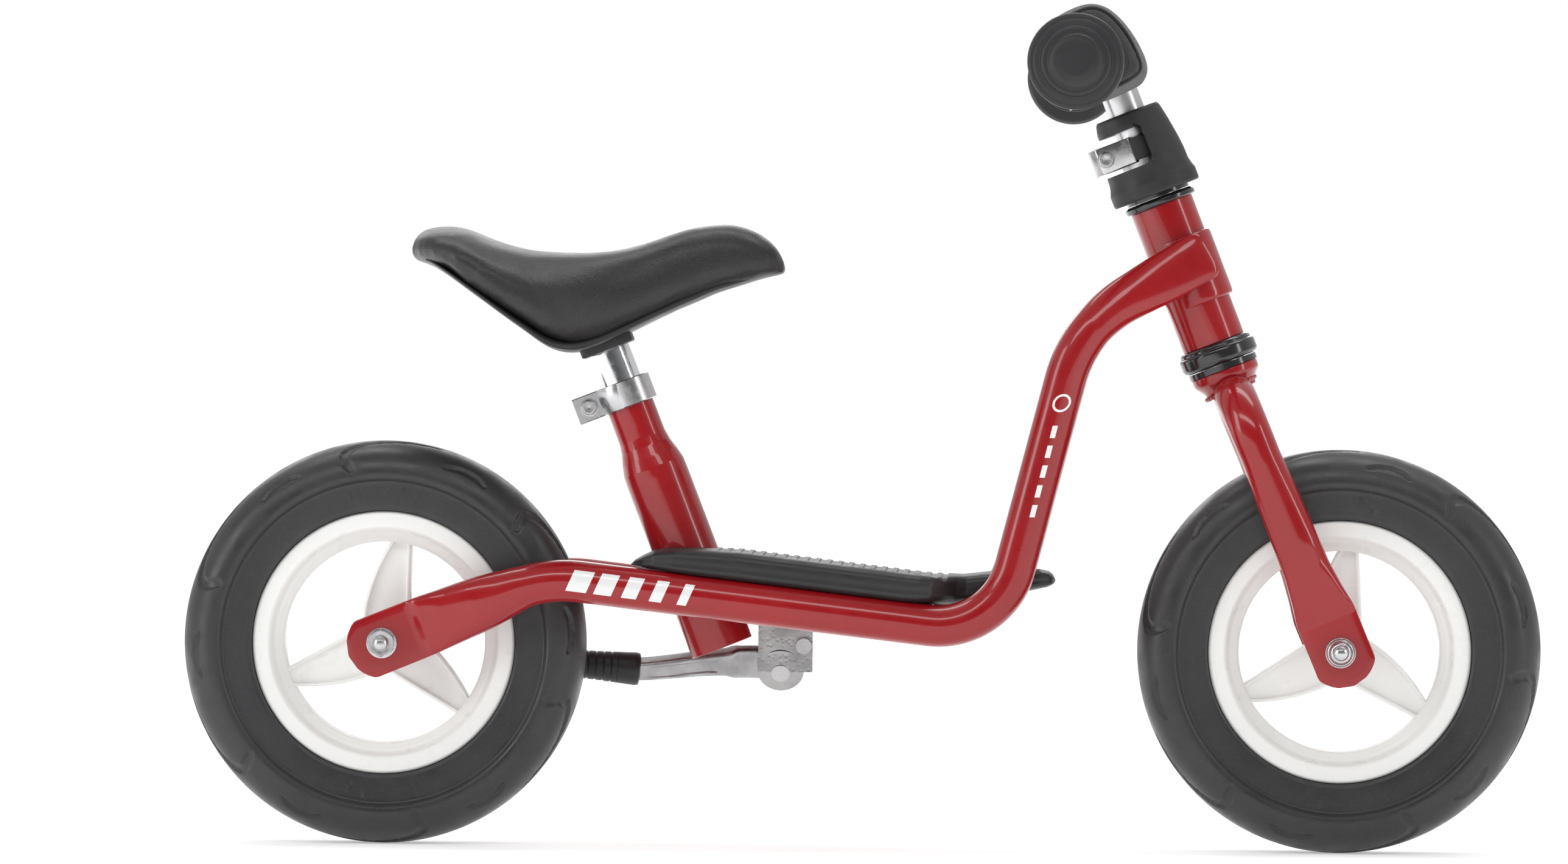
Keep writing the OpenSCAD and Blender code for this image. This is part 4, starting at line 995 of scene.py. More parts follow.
def build_headset():
    """Bearing cups turned about the steering axis, one at each end of the head tube."""
    gloss = paint("gloss_black")
    lower = [[12.8, -11.5], [18.4, -11.5], [20.2, -10.8], [21, -9.2], [21, -4.6], [20.6, -3.4], [19.6, -3],
             [19.4, -1.4], [18.4, -0.2], [14.9, 0], [14.9, 8], [12.8, 8]]
    piece("lower_headset_cup_gloss", [turned(lower, HEAD, 128, 0.5)], gloss, "frame",
          ["lower_headset_cup"])
    upper = [[12.8, 71], [14.9, 71], [14.9, 79], [18.4, 79], [19.2, 79.6], [19.3, 81.8], [18.5, 82.5],
             [17.4, 83.2], [12.8, 83.2]]
    piece("upper_headset_cup_gloss", [turned(upper, HEAD, 128, 0.4)], gloss, "frame",
          ["upper_headset_cup"])
    cad_finish(["crown_race", "top_race"], gloss)


def cover_radius(z):
    """Outer radius of the steering cover at a height over the head tube's foot."""
    table = np.array([[85.4, 23.4], [86.2, 24], [92, 24], [95, 22.9], [98, 22.3], [104, 22.1], [110, 21.5],
                      [116, 20.6], [122, 19.6], [127, 18.6], [130, 17.9], [131.4, 17.0]])
    return np.interp(z, table[:, 0], table[:, 1])


def window_gap(angle, z, r):
    """How far a point of the cover lies outside its rear window: a rounded opening seen from the side."""
    x = r * np.cos(angle)
    inside_x = x - 4.6
    half_h = 11.4
    corner = 5.0
    qx = np.maximum(inside_x + corner, 0)
    qz = np.maximum(np.abs(z - 113.4) - (half_h - corner), 0)
    return np.hypot(qx, qz) - corner


def build_cover():
    """A tapered shell, cut back to a window behind, with the cut's edge turned in to the inner wall."""
    z = np.concatenate([np.linspace(85.4, 100.5, 24), np.linspace(100.9, 126, 120),
                        np.linspace(126.4, 131.4, 16)])
    angle = np.linspace(0, 2 * math.pi, 420, endpoint=False)
    outer_r = cover_radius(z)
    soft = paint("matt_black")
    rows, columns = len(z), len(angle)
    a, zz = np.meshgrid(angle, z)
    r = np.repeat(outer_r[:, None], columns, 1)
    gap = window_gap(a, zz, r)
    keep = gap > 0
    # points just outside the window's edge are drawn onto it, so that the cut is smooth
    step = 1e-3
    gx = (window_gap(a + step / 20, zz, r) - gap) / (step / 20)
    gz = (window_gap(a, zz + step, r) - gap) / step
    size = np.maximum(gx * gx / (r * r) + gz * gz, 1e-9)
    near = (gap > 0) & (gap < 0.45)
    a = np.where(near, a - gap * gx / (r * r) / size, a)
    zz = np.where(near, zz - gap * gz / size, zz)
    outer = np.stack([r * np.cos(a), r * np.sin(a), zz], -1)
    mesh_points = HEAD.put(outer).reshape(-1, 3)
    i, j = np.meshgrid(np.arange(rows - 1), np.arange(columns), indexing="ij")
    k = (j + 1) % columns
    quads = np.stack([i * columns + j, i * columns + k, (i + 1) * columns + k, (i + 1) * columns + j], -1)
    whole = keep[i, j] & keep[i, k] & keep[i + 1, k] & keep[i + 1, j]
    quads = quads[whole]

    def thicken(thing):
        wall = thing.modifiers.new("wall", "SOLIDIFY")
        wall.thickness = 2.2 * MM
        wall.offset = -1
        bevel = thing.modifiers.new("edge", "BEVEL")
        bevel.width = 0.5 * MM
        bevel.segments = 3
        bevel.limit_method = "ANGLE"
        bevel.angle_limit = math.radians(50)

    shell = piece("steering_cover_shell", [(mesh_points, quads)], soft, "fork",
                  ["steering_cover"], crease=50, live=thicken)
    lid = [[10.5, 125.4], [16.4, 125.4], [16.6, 130.6], [13.9, 131.2], [13.2, 128.8], [10.5, 128.8]]
    floor = [[12.8, 88], [20.6, 88], [20.6, 90], [12.8, 90]]
    piece("steering_cover_rings", [turned(lid, HEAD, 128, 0.5), turned(floor, HEAD, 128, 0.3)], soft, "fork")
    return shell


EAR_T, HALF_SLIT = 4.2, 1.4  # thickness of a clamp's ear, and half of the slit between two ears


def clamp(axes, r_in, band, h, ear_end, low):
    """A split band with two ears behind it: an inner and an outer arc, each led out along the ears, are
    carried up as a ring of eight corners, whose rims are drawn in to a small bevel."""
    bevel, steps = 0.45, 90

    def side(r, from_middle):
        """An arc that is open behind by the distance from the middle, with a point at each ear's end."""
        gap = math.asin(from_middle / r)
        a = np.linspace(math.pi - gap, -math.pi + gap, steps)
        arc = np.stack([r * np.cos(a), r * np.sin(a)], -1)
        return np.concatenate([[[-ear_end, from_middle]], arc, [[-ear_end, -from_middle]]])

    inner, outer = side(r_in, HALF_SLIT), side(r_in + band, HALF_SLIT + EAR_T)
    to_middle = (outer - inner) / 2
    draw_in = to_middle / np.maximum(np.linalg.norm(to_middle, axis=1, keepdims=True), 1e-9) * bevel
    levels = [(inner + draw_in, low), (inner, low + bevel), (inner, low + h - bevel),
              (inner + draw_in, low + h),
              (outer - draw_in, low + h), (outer, low + h - bevel), (outer, low + bevel),
              (outer - draw_in, low)]
    loop = [np.concatenate([edge, np.full((len(edge), 1), z)], 1) for edge, z in levels]
    return capped(axes.put(np.stack(loop, 1)))


def clamp_screw(axes, h, ear_end, low, right, left):
    """A socket screw across the ears: a round head with a hexagon socket, a washer and a nut. Right and
    left are how far the ears' outer faces lie from the middle."""
    across = Axes(axes.put([-ear_end + 7.4, 0, low + h / 2]), axes.x, -axes.y)
    washer = np.array([[2.5, 0], [4.7, 0], [4.7, 1], [2.5, 1]]) + [0, right]
    socket = lambda angle, radius, height: np.where(
        (radius > 1.2) & (radius < 2.6) & (height > right + 2.4),
        2.2 / np.cos(np.radians((np.degrees(angle) + 30) % 60 - 30)),
        radius)
    head = np.array([[0, 1], [3.9, 1], [4.1, 1.4], [4.1, 4.2], [3.6, 5], [2.5, 5], [2.4, 4.6], [2.4, 2.6],
                     [0, 2.6]])
    head[:, 1] = head[:, 1] * (0.55 if right > left else 1) + right
    shank = [[0, -left - 5.4], [2.1, -left - 5.4], [2.5, -left - 4.8], [2.5, right + 0.4], [0, right + 0.4]]
    screw = [turned(washer, across, 64, 0.2), turned(head, across, 72, 0.15, socket),
             turned(shank, across, 40, 0.1)]
    return screw, [nut(across, 8, -left - 4.1, -left, 2.52)]


def jaw_outline():
    """One jaw of the steering clamp from above: a block with chamfered corners, hollowed to sit on the
    steerer."""
    bore = np.radians(np.linspace(104, 172, 24))
    inner = np.stack([12.7 * np.cos(bore), 12.7 * np.sin(bore)], -1)
    outer = softened([[-26.8, 1.2], [-26.8, 9.6], [-23, 13.8], [-4.6, 13.8], [-3.1, 12.9]], 0.7, 3,
                     closed=False)
    return np.concatenate([inner, outer])


def build_clamps():
    """The steering clamp as two jaws on a dark band, and the seat clamp as one bent strip."""
    steel = paint("zinc_steel")
    band = [[12.7, 105.6], [14.4, 105.6], [14.4, 117.6], [12.7, 117.6]]
    piece("bar_clamp_band", [turned(band, HEAD, 96, 0.4)], paint("matt_black"), "fork")
    jaws = [extruded(np.array(jaw_outline()) * [1, side], HEAD, 104.6, 118.6, 0.6) for side in (1, -1)]
    piece("bar_clamp_jaws", jaws, steel, "fork", ["bar_clamp"])
    screw, fastener = clamp_screw(HEAD, 14, 26.6, 104.6, 13.4, 10.5)
    piece("bar_clamp_screw", screw, steel, "fork", ["bar_clamp_bolt"])
    piece("bar_clamp_fastener", fastener, steel, "fork", ["bar_clamp_nut"], crease=30)
    piece("seat_clamp_band", [clamp(SEAT, 12.7, 2.55, 14, 28.0, 138.0)], steel, "frame",
          ["seat_clamp"])
    screw, fastener = clamp_screw(SEAT, 14, 28.0, 138.0, 5.6, 5.6)
    piece("seat_clamp_screw", screw, steel, "frame", ["seat_clamp_bolt"])
    piece("seat_clamp_fastener", fastener, steel, "frame", ["seat_clamp_nut"], crease=30)


# ---- Handlebar


def build_stem():
    """Two plain tubes with rounded mouths."""
    tube = [[8, 45], [10, 45], [10, 167], [9.4, 168.6], [8, 168.6]]
    piece("stem_tube", [turned(tube, HEAD, 128, 0.4)], paint("satin_steel"), "handlebar",
          ["stem"])
    across = Axes(BAR.origin, BAR.x, (0, 1, 0))
    bar = [[9.6, -159], [11.1, -159], [11.1, 159], [9.6, 159]]
    piece("crossbar_tube", [turned(bar, across, 96, 0.3)], paint("satin_steel"), "handlebar",
          ["handlebar"])


def build_grips():
    """A ribbed sleeve between a small flange and a wide stepped safety disc."""
    ribs = sizes().grip_ribs
    for side, word in ((1, "left"), (-1, "right")):
        axes = Axes(BAR.origin, BAR.x, (0, side, 0))
        z = np.linspace(81, 141, ribs * 10 + 1)
        wave = 15.1 + 0.5 * np.clip(np.sin((z - 81) / 60 * ribs * 2 * math.pi) * 2.2, -1, 1)
        sleeve = np.stack([wave, z], -1)
        head = [[11.2, 73], [18.6, 73], [20.4, 74.4], [20.2, 76.2], [18, 77.8], [15.4, 79]]
        disc_side = [[15.3, 143], [16.6, 145.4], [20, 147.6], [23.8, 150.2], [25.1, 152.6], [25.25, 154.4],
                     [24.8, 156.4], [23.6, 157.2], [22.2, 157.2], [21.6, 158.2], [19.4, 158.6], [18.6, 158.8],
                     [18.1, 161.0], [16.9, 161.7], [15.2, 161.7], [14.6, 161.9], [13.6, 163.3], [11.4, 164.4],
                     [8, 165], [4, 165.2], [0, 165.2], [0, 159], [11.2, 159]]
        profile = np.concatenate([softened(head, 0.7, 3, closed=False), sleeve,
                                  softened(disc_side, 0.55, 3, closed=False)])
        radius, height = profile[:, 0], profile[:, 1]
        turn = np.linspace(0, 2 * math.pi, 128, endpoint=False)[:, None]
        local = np.stack([radius * np.cos(turn), radius * np.sin(turn),
                          np.broadcast_to(height, (128, len(height)))],
                         -1)
        local[..., 2] = np.minimum(local[..., 2], 165.0)
        piece(f"grip_{word}_rubber", [grid(axes.put(local), round_rows=True)], paint("soft_rubber"),
              "handlebar", [f"grip_{word}"], crease=60)


def inflate(thing, voxel, pressure, cap, frames=20):
    """Fills a closed form as padding does: remeshed, blown up as cloth for some frames, and held within a
    cap."""
    scene = bpy.context.scene
    remesh = thing.modifiers.new("remesh", "REMESH")
    remesh.mode = "VOXEL"
    remesh.voxel_size = voxel
    apply_modifiers(thing)
    before = np.zeros(len(thing.data.vertices) * 3, np.float32)
    thing.data.vertices.foreach_get("co", before)
    cloth = thing.modifiers.new("cloth", "CLOTH")
    settings = cloth.settings
    settings.quality = 6
    settings.mass = 0.3
    settings.tension_stiffness = settings.compression_stiffness = 15
    settings.bending_stiffness = 2
    settings.use_pressure = True
    settings.uniform_pressure_force = pressure
    settings.effector_weights.gravity = 0
    cloth.collision_settings.use_collision = False
    for frame in range(1, frames + 1):
        scene.frame_set(frame)
    apply_modifiers(thing)
    scene.frame_set(1)
    after = np.zeros_like(before)
    thing.data.vertices.foreach_get("co", after)
    move = (after - before).reshape(-1, 3)
    size = np.linalg.norm(move, axis=1, keepdims=True)
    held = before.reshape(-1, 3) + move / np.maximum(size, 1e-9) * np.minimum(size, cap)
    thing.data.vertices.foreach_set("co", held.astype(np.float32).ravel())
    thing.data.update()
    subdivide = thing.modifiers.new("smooth", "SUBSURF")
    subdivide.levels = subdivide.render_levels = 1
    apply_modifiers(thing)
    thing.data.shade_smooth()


def apply_modifiers(thing):
    """Bakes an object's modifiers into its mesh."""
    evaluated = thing.evaluated_get(bpy.context.evaluated_depsgraph_get())
    mesh = bpy.data.meshes.new_from_object(evaluated)
    old = thing.data
    thing.modifiers.clear()
    thing.data = mesh
    bpy.data.meshes.remove(old)


def pad_section(turn, grow):
    """The pad's outline beside the bar: a rounded triangle, its long side ahead."""
    corners = [[-15, -16], [6, -22], [27, -21], [38, -17.5], [36.5, 6], [30, 23.5], [21, 31], [8, 31],
               [-4.5, 29], [-15.5, 17], [-18.5, 2]]
    outline = softened(corners, 9, 6)
    centre = np.array([9.0, 4.0])
    spread = outline - centre
    angle = np.arctan2(spread[:, 1], spread[:, 0])
    order = np.argsort(angle)
    length = np.hypot(spread[:, 0], spread[:, 1])
    r = np.interp(turn, angle[order], length[order], period=2 * math.pi) * grow
    return centre[0] + r * np.cos(turn), centre[1] + r * np.sin(turn)


def build_pad():
    """A foam pad in a knitted sleeve: fullest in the middle, drawn in at its ends, with a flat end panel."""
    y = np.concatenate([[-66, -65.8, -65, -63], np.linspace(-60, 60, 41), [63, 65, 65.8, 66]])
    grow = np.interp(np.abs(y), [0, 20, 40, 55, 62, 65, 66], [0.99, 0.985, 0.95, 0.88, 0.82, 0.76, 0.7])
    turn = np.linspace(-math.pi, math.pi, 72, endpoint=False)
    x, z = pad_section(turn[None, :], grow[:, None])
    local = np.stack([x, np.broadcast_to(y[:, None], x.shape), z], -1)
    pad = piece("handlebar_pad_fabric", [capped(BAR.put(local))], paint("knit"), "handlebar",
                ["handlebar_pad"], live=lambda thing: inflate(thing, 0.0035, 4.0, 0.003))
    seams = []
    for side in (-1, 1):
        u = np.linspace(-math.pi, math.pi, 160, endpoint=False)[:, None]
        v = np.linspace(0, 2 * math.pi, 8, endpoint=False)[None, :]
        sx, sz = pad_section(u, 0.845)
        ex, ez = 0.9 * np.cos(u) * np.cos(v), 0.9 * np.sin(u) * np.cos(v)
        seams.append(grid(BAR.put(np.stack([sx + ex, side * (62.6 + 0.9 * np.sin(v)) + 0 * u, sz + ez], -1)),
                          round_rows=True))
    piece("handlebar_pad_piping", seams, paint("soft_rubber"), "handlebar")
    # a hook-and-loop strap closes the sleeve under the bar
    strap = extruded([[-9, -4], [3, -4], [3, 4], [-9, 4]], Axes(BAR.put([-1, 0, -18.4]), BAR.x, BAR.z), -0.9,
                     0.9, 0.4)
    piece("handlebar_pad_strap", [strap], paint("satin_steel"), "handlebar")


# ---- Saddle

SADDLE_TOP = [[0, 208], [2, 218], [7, 222.5], [14, 224], [22, 223.5], [32, 221], [42, 216], [52, 213],
              [62, 210.5],
              [72, 209.5], [92, 209], [102, 209.7], [112, 211], [122, 213.5], [132, 217], [142, 221],
              [152, 224],
              [162, 226], [170, 226.5], [177, 225.5], [184, 223], [192, 217.5], [197, 211], [200, 201.5]]
SADDLE_UNDER = [[0, 207], [12, 203.5], [22, 197], [32, 189.5], [42, 182.5], [52, 175], [62, 168], [72, 160.5],
                [77, 158], [85, 156.5], [92, 157.5], [102, 161], [112, 166], [122, 171], [132, 176],
                [142, 181], [152, 185], [162, 190], [172, 193], [182, 196.5], [192, 199.5], [200, 201]]
SADDLE_WIDE = [[0, 0.32], [3, 0.5], [8, 0.68], [16, 0.84], [28, 0.95], [44, 1], [60, 0.98], [76, 0.88],
               [92, 0.72],
               [108, 0.57], [124, 0.47], [144, 0.41], [164, 0.38], [180, 0.34], [190, 0.28], [196, 0.2],
               [200, 0.1]]


def smoothed(table, x, width):
    """A table read at x and averaged over a width, so that its corners are soft."""
    t = np.array(table, float)
    shifts = np.linspace(-width, width, 9)
    return np.mean([np.interp(np.clip(x + d, x.min(), x.max()), t[:, 0], t[:, 1]) for d in shifts], 0)


def saddle_form(low_share, high_share, narrow, rows=120, columns=96, square=2.5, shorter=0):
    """Rounded sections between shares of the saddle's depth, drawn in at the tail and the nose."""
    x = 100 - (100 - shorter) * np.cos(np.linspace(0.02, math.pi - 0.02, rows))
    width = 5 * np.clip(np.minimum(x, 200 - x) / 20, 0.05, 1)
    top = np.array([smoothed(SADDLE_TOP, np.array([0, v, 200.0]), w)[1] for v, w in zip(x, width)])
    under = np.array([smoothed(SADDLE_UNDER, np.array([0, v, 200.0]), w)[1] for v, w in zip(x, width)])
    half = np.array([smoothed(SADDLE_WIDE, np.array([0, v, 200.0]), w)[1] for v,
                     w in zip(x, width)]) * 62 - narrow
    deep = top - under
    lo, hi = under + deep * low_share, under + deep * high_share
    turn = np.linspace(0, 2 * math.pi, columns, endpoint=False)[None, :]
    c, s = np.cos(turn), np.sin(turn)
    # the widest place lies low, so that the sides tuck under and the top is crowned
    z_mid = lo + (hi - lo) * 0.36
    z = z_mid[:, None] + np.where(s > 0, (hi - z_mid)[:, None] * bulge(s, square),
                                  (z_mid - lo)[:, None] * bulge(s, 3.4))
    y = half[:, None] * bulge(c, 2.7) * np.where(s < 0, 1 - 0.16 * s * s, 1 - 0.04 * s * s)
    tail = REAR[0] / MM + 180 - 167.5
    base = SEAT.origin[2] / MM
    return np.stack([np.broadcast_to(tail + x[:, None], y.shape), y, base + z], -1) * MM


def build_saddle():
    """A padded cushion over a tray of the same form, drawn in so that only its underside shows."""
    cushion = piece("saddle_cushion", [capped(saddle_form(0.012, 0.995, 0.6))], paint("leatherette"), "seat",
                    ["saddle_cover"], crease=80,
                    live=lambda thing: inflate(thing, 0.004, 2.5, 0.0012))
    piece("saddle_tray", [capped(saddle_form(-0.004, 0.14, 8.0, 90, 64, 3.6, shorter=9))],
          paint("matt_black"), "seat", ["saddle_shell"], crease=70)
    block = softened([[-14.5, -17], [14.5, -17], [14.5, 17], [-14.5, 17]], 5, 6)
    piece("saddle_clamp_block", [extruded(block, SEAT, 170.3, 176.5, 0.8)], paint("matt_black"), "seat",
          ["saddle_clamp"])
    post = [[9.4, 28], [11, 28], [11, 173], [9.4, 173]]
    piece("seat_post_tube", [turned(post, SEAT, 128, 0.4)], paint("chrome"), "seat", ["seat_post"])


# ---- Kickstand


# the side of the leg that hangs lowest when it is folded up
DOWN = -math.copysign(1, STAND.y[2])


def build_kickstand():
    """The leg is a flattened tube with a sunk panel on each side; a collar flares it into the knuckle."""
    x = np.linspace(-84, -4, 120)
    high = np.interp(x, [-84, -76, -62, -40, -30, -24, -18, -8, -4],
                     [5.4, 5.6, 6.0, 6.6, 7.2, 9.0, 9.2, 9.2, 8.6])
    wide = np.interp(x, [-84, -76, -40, -30, -26, -22, -18, -4], [4.6, 4.9, 5.0, 5.0, 5.4, 4.0, 4.0, 4.0])
    turn = np.linspace(0, 2 * math.pi, 64, endpoint=False)[None, :]
    y = high[:, None] * bulge(np.cos(turn), 4)
    z = wide[:, None] * bulge(np.sin(turn), 4)
    panel = np.clip((x + 74) / 4, 0, 1) * np.clip((-31 - x) / 4, 0, 1)
    sunk = np.clip((3.7 - np.abs(y)) / 0.8, 0, 1) * panel[:, None]
    z = z - np.sign(z) * 1.1 * sunk * (np.abs(z) > 2)
    bow = 5.5 * np.sin(np.clip((-22 - x) / 62, 0, 1) * math.pi / 2) ** 2 * DOWN
    leg = capped(STAND.put(np.stack([np.broadcast_to(x[:, None], y.shape), y + bow[:, None], z], -1)))
    knuckle = [[3.05, -4], [9.5, -4], [9.5, 4], [3.05, 4]]
    piece("kickstand_leg_casting", [leg, turned(knuckle, STAND, 96, 0.6)], paint("cast_aluminium"),
          "kickstand", ["kickstand_leg"], crease=45)
    foot_axes = Axes(STAND.put([-117.8, 1.6 * DOWN, 0]), STAND.z, STAND.x * 42 + STAND.y * 3.9 * DOWN)
    foot = [[0, 0.3], [4.6, 0.4], [6.6, 2], [7.4, 6], [7.9, 20], [8.6, 34], [8.9, 39.4], [8.5, 41.4],
            [6.6, 42], [0, 42]]
    ribs = lambda angle, radius, height: radius - np.where(
        radius > 5, 0.45 * np.clip(np.sin(height * 2 * math.pi / 4.2) - 0.55, 0,
                                   1) * 2.2 * (height > 6) * (height < 30), 0)
    dense = np.concatenate([foot[:3], [[np.interp(h, [2, 6, 20, 34, 39.4], [6.6, 7.4, 7.9, 8.6, 8.9]), h]
                                       for h in np.linspace(2.6, 39.2, 110)], foot[6:]])
    piece("kickstand_foot_rubber", [turned(dense, foot_axes, 72, 0.15, ribs)], paint("soft_rubber"),
          "kickstand", ["kickstand_foot"], crease=50)
    cad_finish(["kickstand_housing"], paint("cast_aluminium"))
    cad_finish(["kickstand_pivot_bolt", "kickstand_bolt"], paint("zinc_steel"))


# ---- Stage


def build_camera():
    """A long lens level with the saddle, square to the bike's right side and a little ahead of its middle."""
    scene = bpy.context.scene
    lens = bpy.data.cameras.new("camera")
    lens.lens, lens.sensor_width, lens.clip_end = 232.2, 36, 100
    camera = bpy.data.objects.new("camera", lens)
    scene.collection.objects.link(camera)
    eye = Vector((0.091, -5.4, 0.255))
    aim = Vector((-0.0426, 0, 0.2215))
    turn = (aim - eye).to_track_quat("-Z", "Y").to_matrix().to_4x4()
    camera.matrix_world = Matrix.Translation(eye) @ turn @ Matrix.Rotation(math.radians(0.556), 4, "Z")
    scene.camera = camera


def soft_light(name, power, size, place, aim=(0, 0, 0.2), colour=(1, 1, 1)):
    """A rectangular light at a place, turned to face its aim."""
    light = bpy.data.lights.new(name, "AREA")
    light.shape, light.size, light.size_y = "RECTANGLE", size[0], size[1]
    light.energy, light.color = power, colour
    thing = bpy.data.objects.new(name, light)
    bpy.context.scene.collection.objects.link(thing)
    way = Vector(aim) - Vector(place)
    thing.matrix_world = Matrix.Translation(place) @ way.to_track_quat("-Z", "Y").to_matrix().to_4x4()


def build_stage():
    """A camera, a pale round floor, five soft lights and a white room."""
    build_camera()
    radius = np.array([0.001, 1, 2, 4, 8, 16, 40.0])[:, None]
    turn = np.linspace(0, 2 * math.pi, 96, endpoint=False)[None, :]
    ground = np.stack([radius * np.cos(turn), radius * np.sin(turn), 0 * radius * turn], -1)
    points, quads = grid(ground)
    mesh = bpy.data.meshes.new("floor")
    mesh.from_pydata(points, [], quads)
    floor = bpy.data.objects.new("floor", mesh)
    bpy.context.scene.collection.objects.link(floor)
    pale = Finish("floor_paper", Roughness=0.8, Emission_Strength=0.6, Specular_IOR_Level=0.2)
    pale.shader.inputs["Emission Color"].default_value = (1, 1, 1, 1)
    pale.colour(pale.mix(pale.noise(2), (0.9, 0.9, 0.9), (0.93, 0.93, 0.93)))
    mesh.materials.append(pale.material)
    # the paper glows less close to the bike, so that its shadow shows
    place = pale.node("ShaderNodeTexCoord").outputs["Object"]
    reach = pale.node("ShaderNodeVectorMath", operation="LENGTH")
    pale.wire(place, reach.inputs[0])
    pale.feed(pale.shader.inputs["Emission Strength"],
              pale.spread(reach.outputs["Value"], 0.35, 2.2, 0.36, 0.62))
    soft_light("front_strip", 26, (3.6, 0.5), (-0.3, -2.3, 2.1))
    soft_light("top_strip", 26, (3.4, 0.6), (0.1, 0.5, 2.6))
    soft_light("left_panel", 20, (0.9, 1.8), (-2.6, -1.3, 1.0))
    soft_light("right_strip", 12, (0.35, 1.8), (2.7, -1.2, 1.2))
    soft_light("back_panel", 16, (2.4, 1.0), (-0.3, 2.8, 1.4))
    world = bpy.data.worlds.new("white_room")
    world.use_nodes = True
    tree = world.node_tree
    # the room is bright above and at the sides, and dim behind the camera, so that flat faces keep their
    # depth
    way = tree.nodes.new("ShaderNodeTexCoord").outputs["Generated"]
    axes = tree.nodes.new("ShaderNodeSeparateXYZ")
    tree.links.new(way, axes.inputs[0])
    room = tree.nodes.new("ShaderNodeMapRange")
    for socket, number in (("From Min", -1.0), ("From Max", 0.3), ("To Min", 0.1), ("To Max", 0.62)):
        room.inputs[socket].default_value = number
    tree.links.new(axes.outputs["Y"], room.inputs["Value"])
    seen = tree.nodes.new("ShaderNodeLightPath").outputs["Is Camera Ray"]
    level = tree.nodes.new("ShaderNodeMapRange")
    level.inputs["To Max"].default_value = 1.0
    tree.links.new(seen, level.inputs["Value"])
    tree.links.new(room.outputs["Result"], level.inputs["To Min"])
    tree.links.new(level.outputs["Result"], tree.nodes["Background"].inputs["Strength"])
    tree.nodes["Background"].inputs["Color"].default_value = (1, 1, 1, 1)
    bpy.context.scene.world = world
    bpy.context.scene.view_settings.view_transform = "Standard"


# ---- Operators, panel and the run


class BIKE_OT_stage(bpy.types.Operator):
    """Makes the camera, the floor and the lights"""

    bl_idname = "bike.stage"
    bl_label = "Stage"

    def execute(self, context):
        build_stage()
        return {"FINISHED"}


class BIKE_OT_frame(bpy.types.Operator):
    """Makes the lacquered tubes of the frame"""

    bl_idname = "bike.frame"
    bl_label = "Frame"

    def execute(self, context):
        build_frame()
        return {"FINISHED"}


class BIKE_OT_footboard(bpy.types.Operator):
    """Makes the footboard's moulding"""

    bl_idname = "bike.footboard"
    bl_label = "Footboard"

    def execute(self, context):
        build_footboard()
        return {"FINISHED"}


class BIKE_OT_wheels(bpy.types.Operator):
    """Makes both tyres, rims and their spokes"""

    bl_idname = "bike.wheels"
    bl_label = "Wheels"

    def execute(self, context):
        build_wheels()
        return {"FINISHED"}


class BIKE_OT_axles(bpy.types.Operator):
    """Makes the axle bolts, nuts, washers and spacers"""

    bl_idname = "bike.axles"
    bl_label = "Axles"

    def execute(self, context):
        build_axles()
        return {"FINISHED"}


class BIKE_OT_fork(bpy.types.Operator):
    """Makes the fork's blades, crown and steerer"""

    bl_idname = "bike.fork"
    bl_label = "Fork"

    def execute(self, context):
        build_fork()
        return {"FINISHED"}


class BIKE_OT_headset(bpy.types.Operator):
    """Makes the bearing cups on the head tube"""

    bl_idname = "bike.headset"
    bl_label = "Headset"

    def execute(self, context):
        build_headset()
        return {"FINISHED"}


class BIKE_OT_cover(bpy.types.Operator):
    """Makes the cover over the steering clamp"""

    bl_idname = "bike.cover"
    bl_label = "Steering cover"

    def execute(self, context):
        build_cover()
        return {"FINISHED"}


class BIKE_OT_clamps(bpy.types.Operator):
    """Makes the handlebar's and the seat post's clamps"""

    bl_idname = "bike.clamps"
    bl_label = "Clamps"

    def execute(self, context):
        build_clamps()
        return {"FINISHED"}


class BIKE_OT_stem(bpy.types.Operator):
    """Makes the stem and the crossbar"""

    bl_idname = "bike.stem"
    bl_label = "Stem"

    def execute(self, context):
        build_stem()
        return {"FINISHED"}


class BIKE_OT_grips(bpy.types.Operator):
    """Makes both grips with their safety discs"""

    bl_idname = "bike.grips"
    bl_label = "Grips"

    def execute(self, context):
        build_grips()
        return {"FINISHED"}


class BIKE_OT_pad(bpy.types.Operator):
    """Makes the knitted pad on the handlebar"""

    bl_idname = "bike.pad"
    bl_label = "Handlebar pad"

    def execute(self, context):
        build_pad()
        return {"FINISHED"}


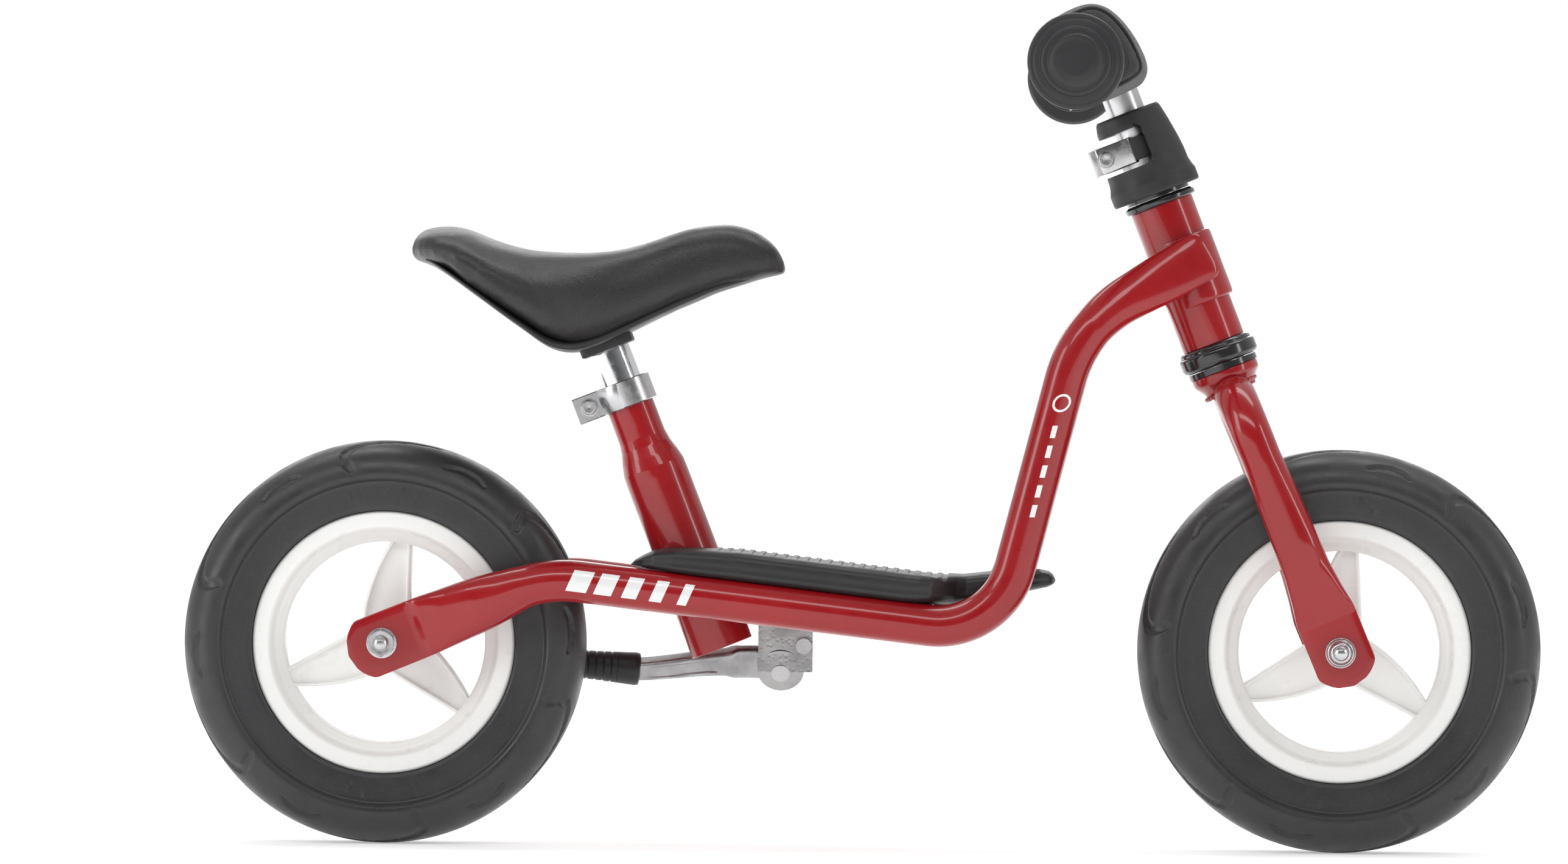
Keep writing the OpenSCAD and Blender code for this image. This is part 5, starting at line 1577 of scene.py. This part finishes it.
class BIKE_OT_saddle(bpy.types.Operator):
    """Makes the saddle, its clamp and its post"""

    bl_idname = "bike.saddle"
    bl_label = "Saddle"

    def execute(self, context):
        build_saddle()
        return {"FINISHED"}


class BIKE_OT_kickstand(bpy.types.Operator):
    """Makes the kickstand's leg and foot"""

    bl_idname = "bike.kickstand"
    bl_label = "Kickstand"

    def execute(self, context):
        build_kickstand()
        return {"FINISHED"}


OPERATORS = [
    BIKE_OT_stage,
    BIKE_OT_frame,
    BIKE_OT_footboard,
    BIKE_OT_wheels,
    BIKE_OT_axles,
    BIKE_OT_fork,
    BIKE_OT_headset,
    BIKE_OT_cover,
    BIKE_OT_clamps,
    BIKE_OT_stem,
    BIKE_OT_grips,
    BIKE_OT_pad,
    BIKE_OT_saddle,
    BIKE_OT_kickstand,
]


class BIKE_PT_panel(bpy.types.Panel):
    """Lists the bike's settings and pieces."""

    bl_label = "Balance bike"
    bl_idname = "BIKE_PT_panel"
    bl_space_type = "VIEW_3D"
    bl_region_type = "UI"
    bl_category = "Balance bike"

    def draw(self, context):
        for group in (context.scene.bike_sizes, context.scene.bike_colours):
            for key in group.__annotations__:
                self.layout.prop(group, key)
        for made in OPERATORS:
            self.layout.operator(made.bl_idname)


CLASSES = [BikeColours, BikeSizes, *OPERATORS, BIKE_PT_panel]


def register():
    for made in CLASSES:
        bpy.utils.register_class(made)
    bpy.types.Scene.bike_colours = bpy.props.PointerProperty(type=BikeColours)
    bpy.types.Scene.bike_sizes = bpy.props.PointerProperty(type=BikeSizes)


def unregister():
    del bpy.types.Scene.bike_sizes
    del bpy.types.Scene.bike_colours
    for made in reversed(CLASSES):
        bpy.utils.unregister_class(made)


def main():
    register()
    bike = bpy.ops.bike
    steps = [
        bike.stage,
        bike.frame,
        bike.footboard,
        bike.wheels,
        bike.axles,
        bike.fork,
        bike.headset,
        bike.cover,
        bike.clamps,
        bike.stem,
        bike.grips,
        bike.pad,
        bike.saddle,
        bike.kickstand,
    ]
    for step in steps:
        if step() != {"FINISHED"}:
            raise RuntimeError(f"{step.idname_py()} could not finish")


if __name__ == "__main__":
    main()
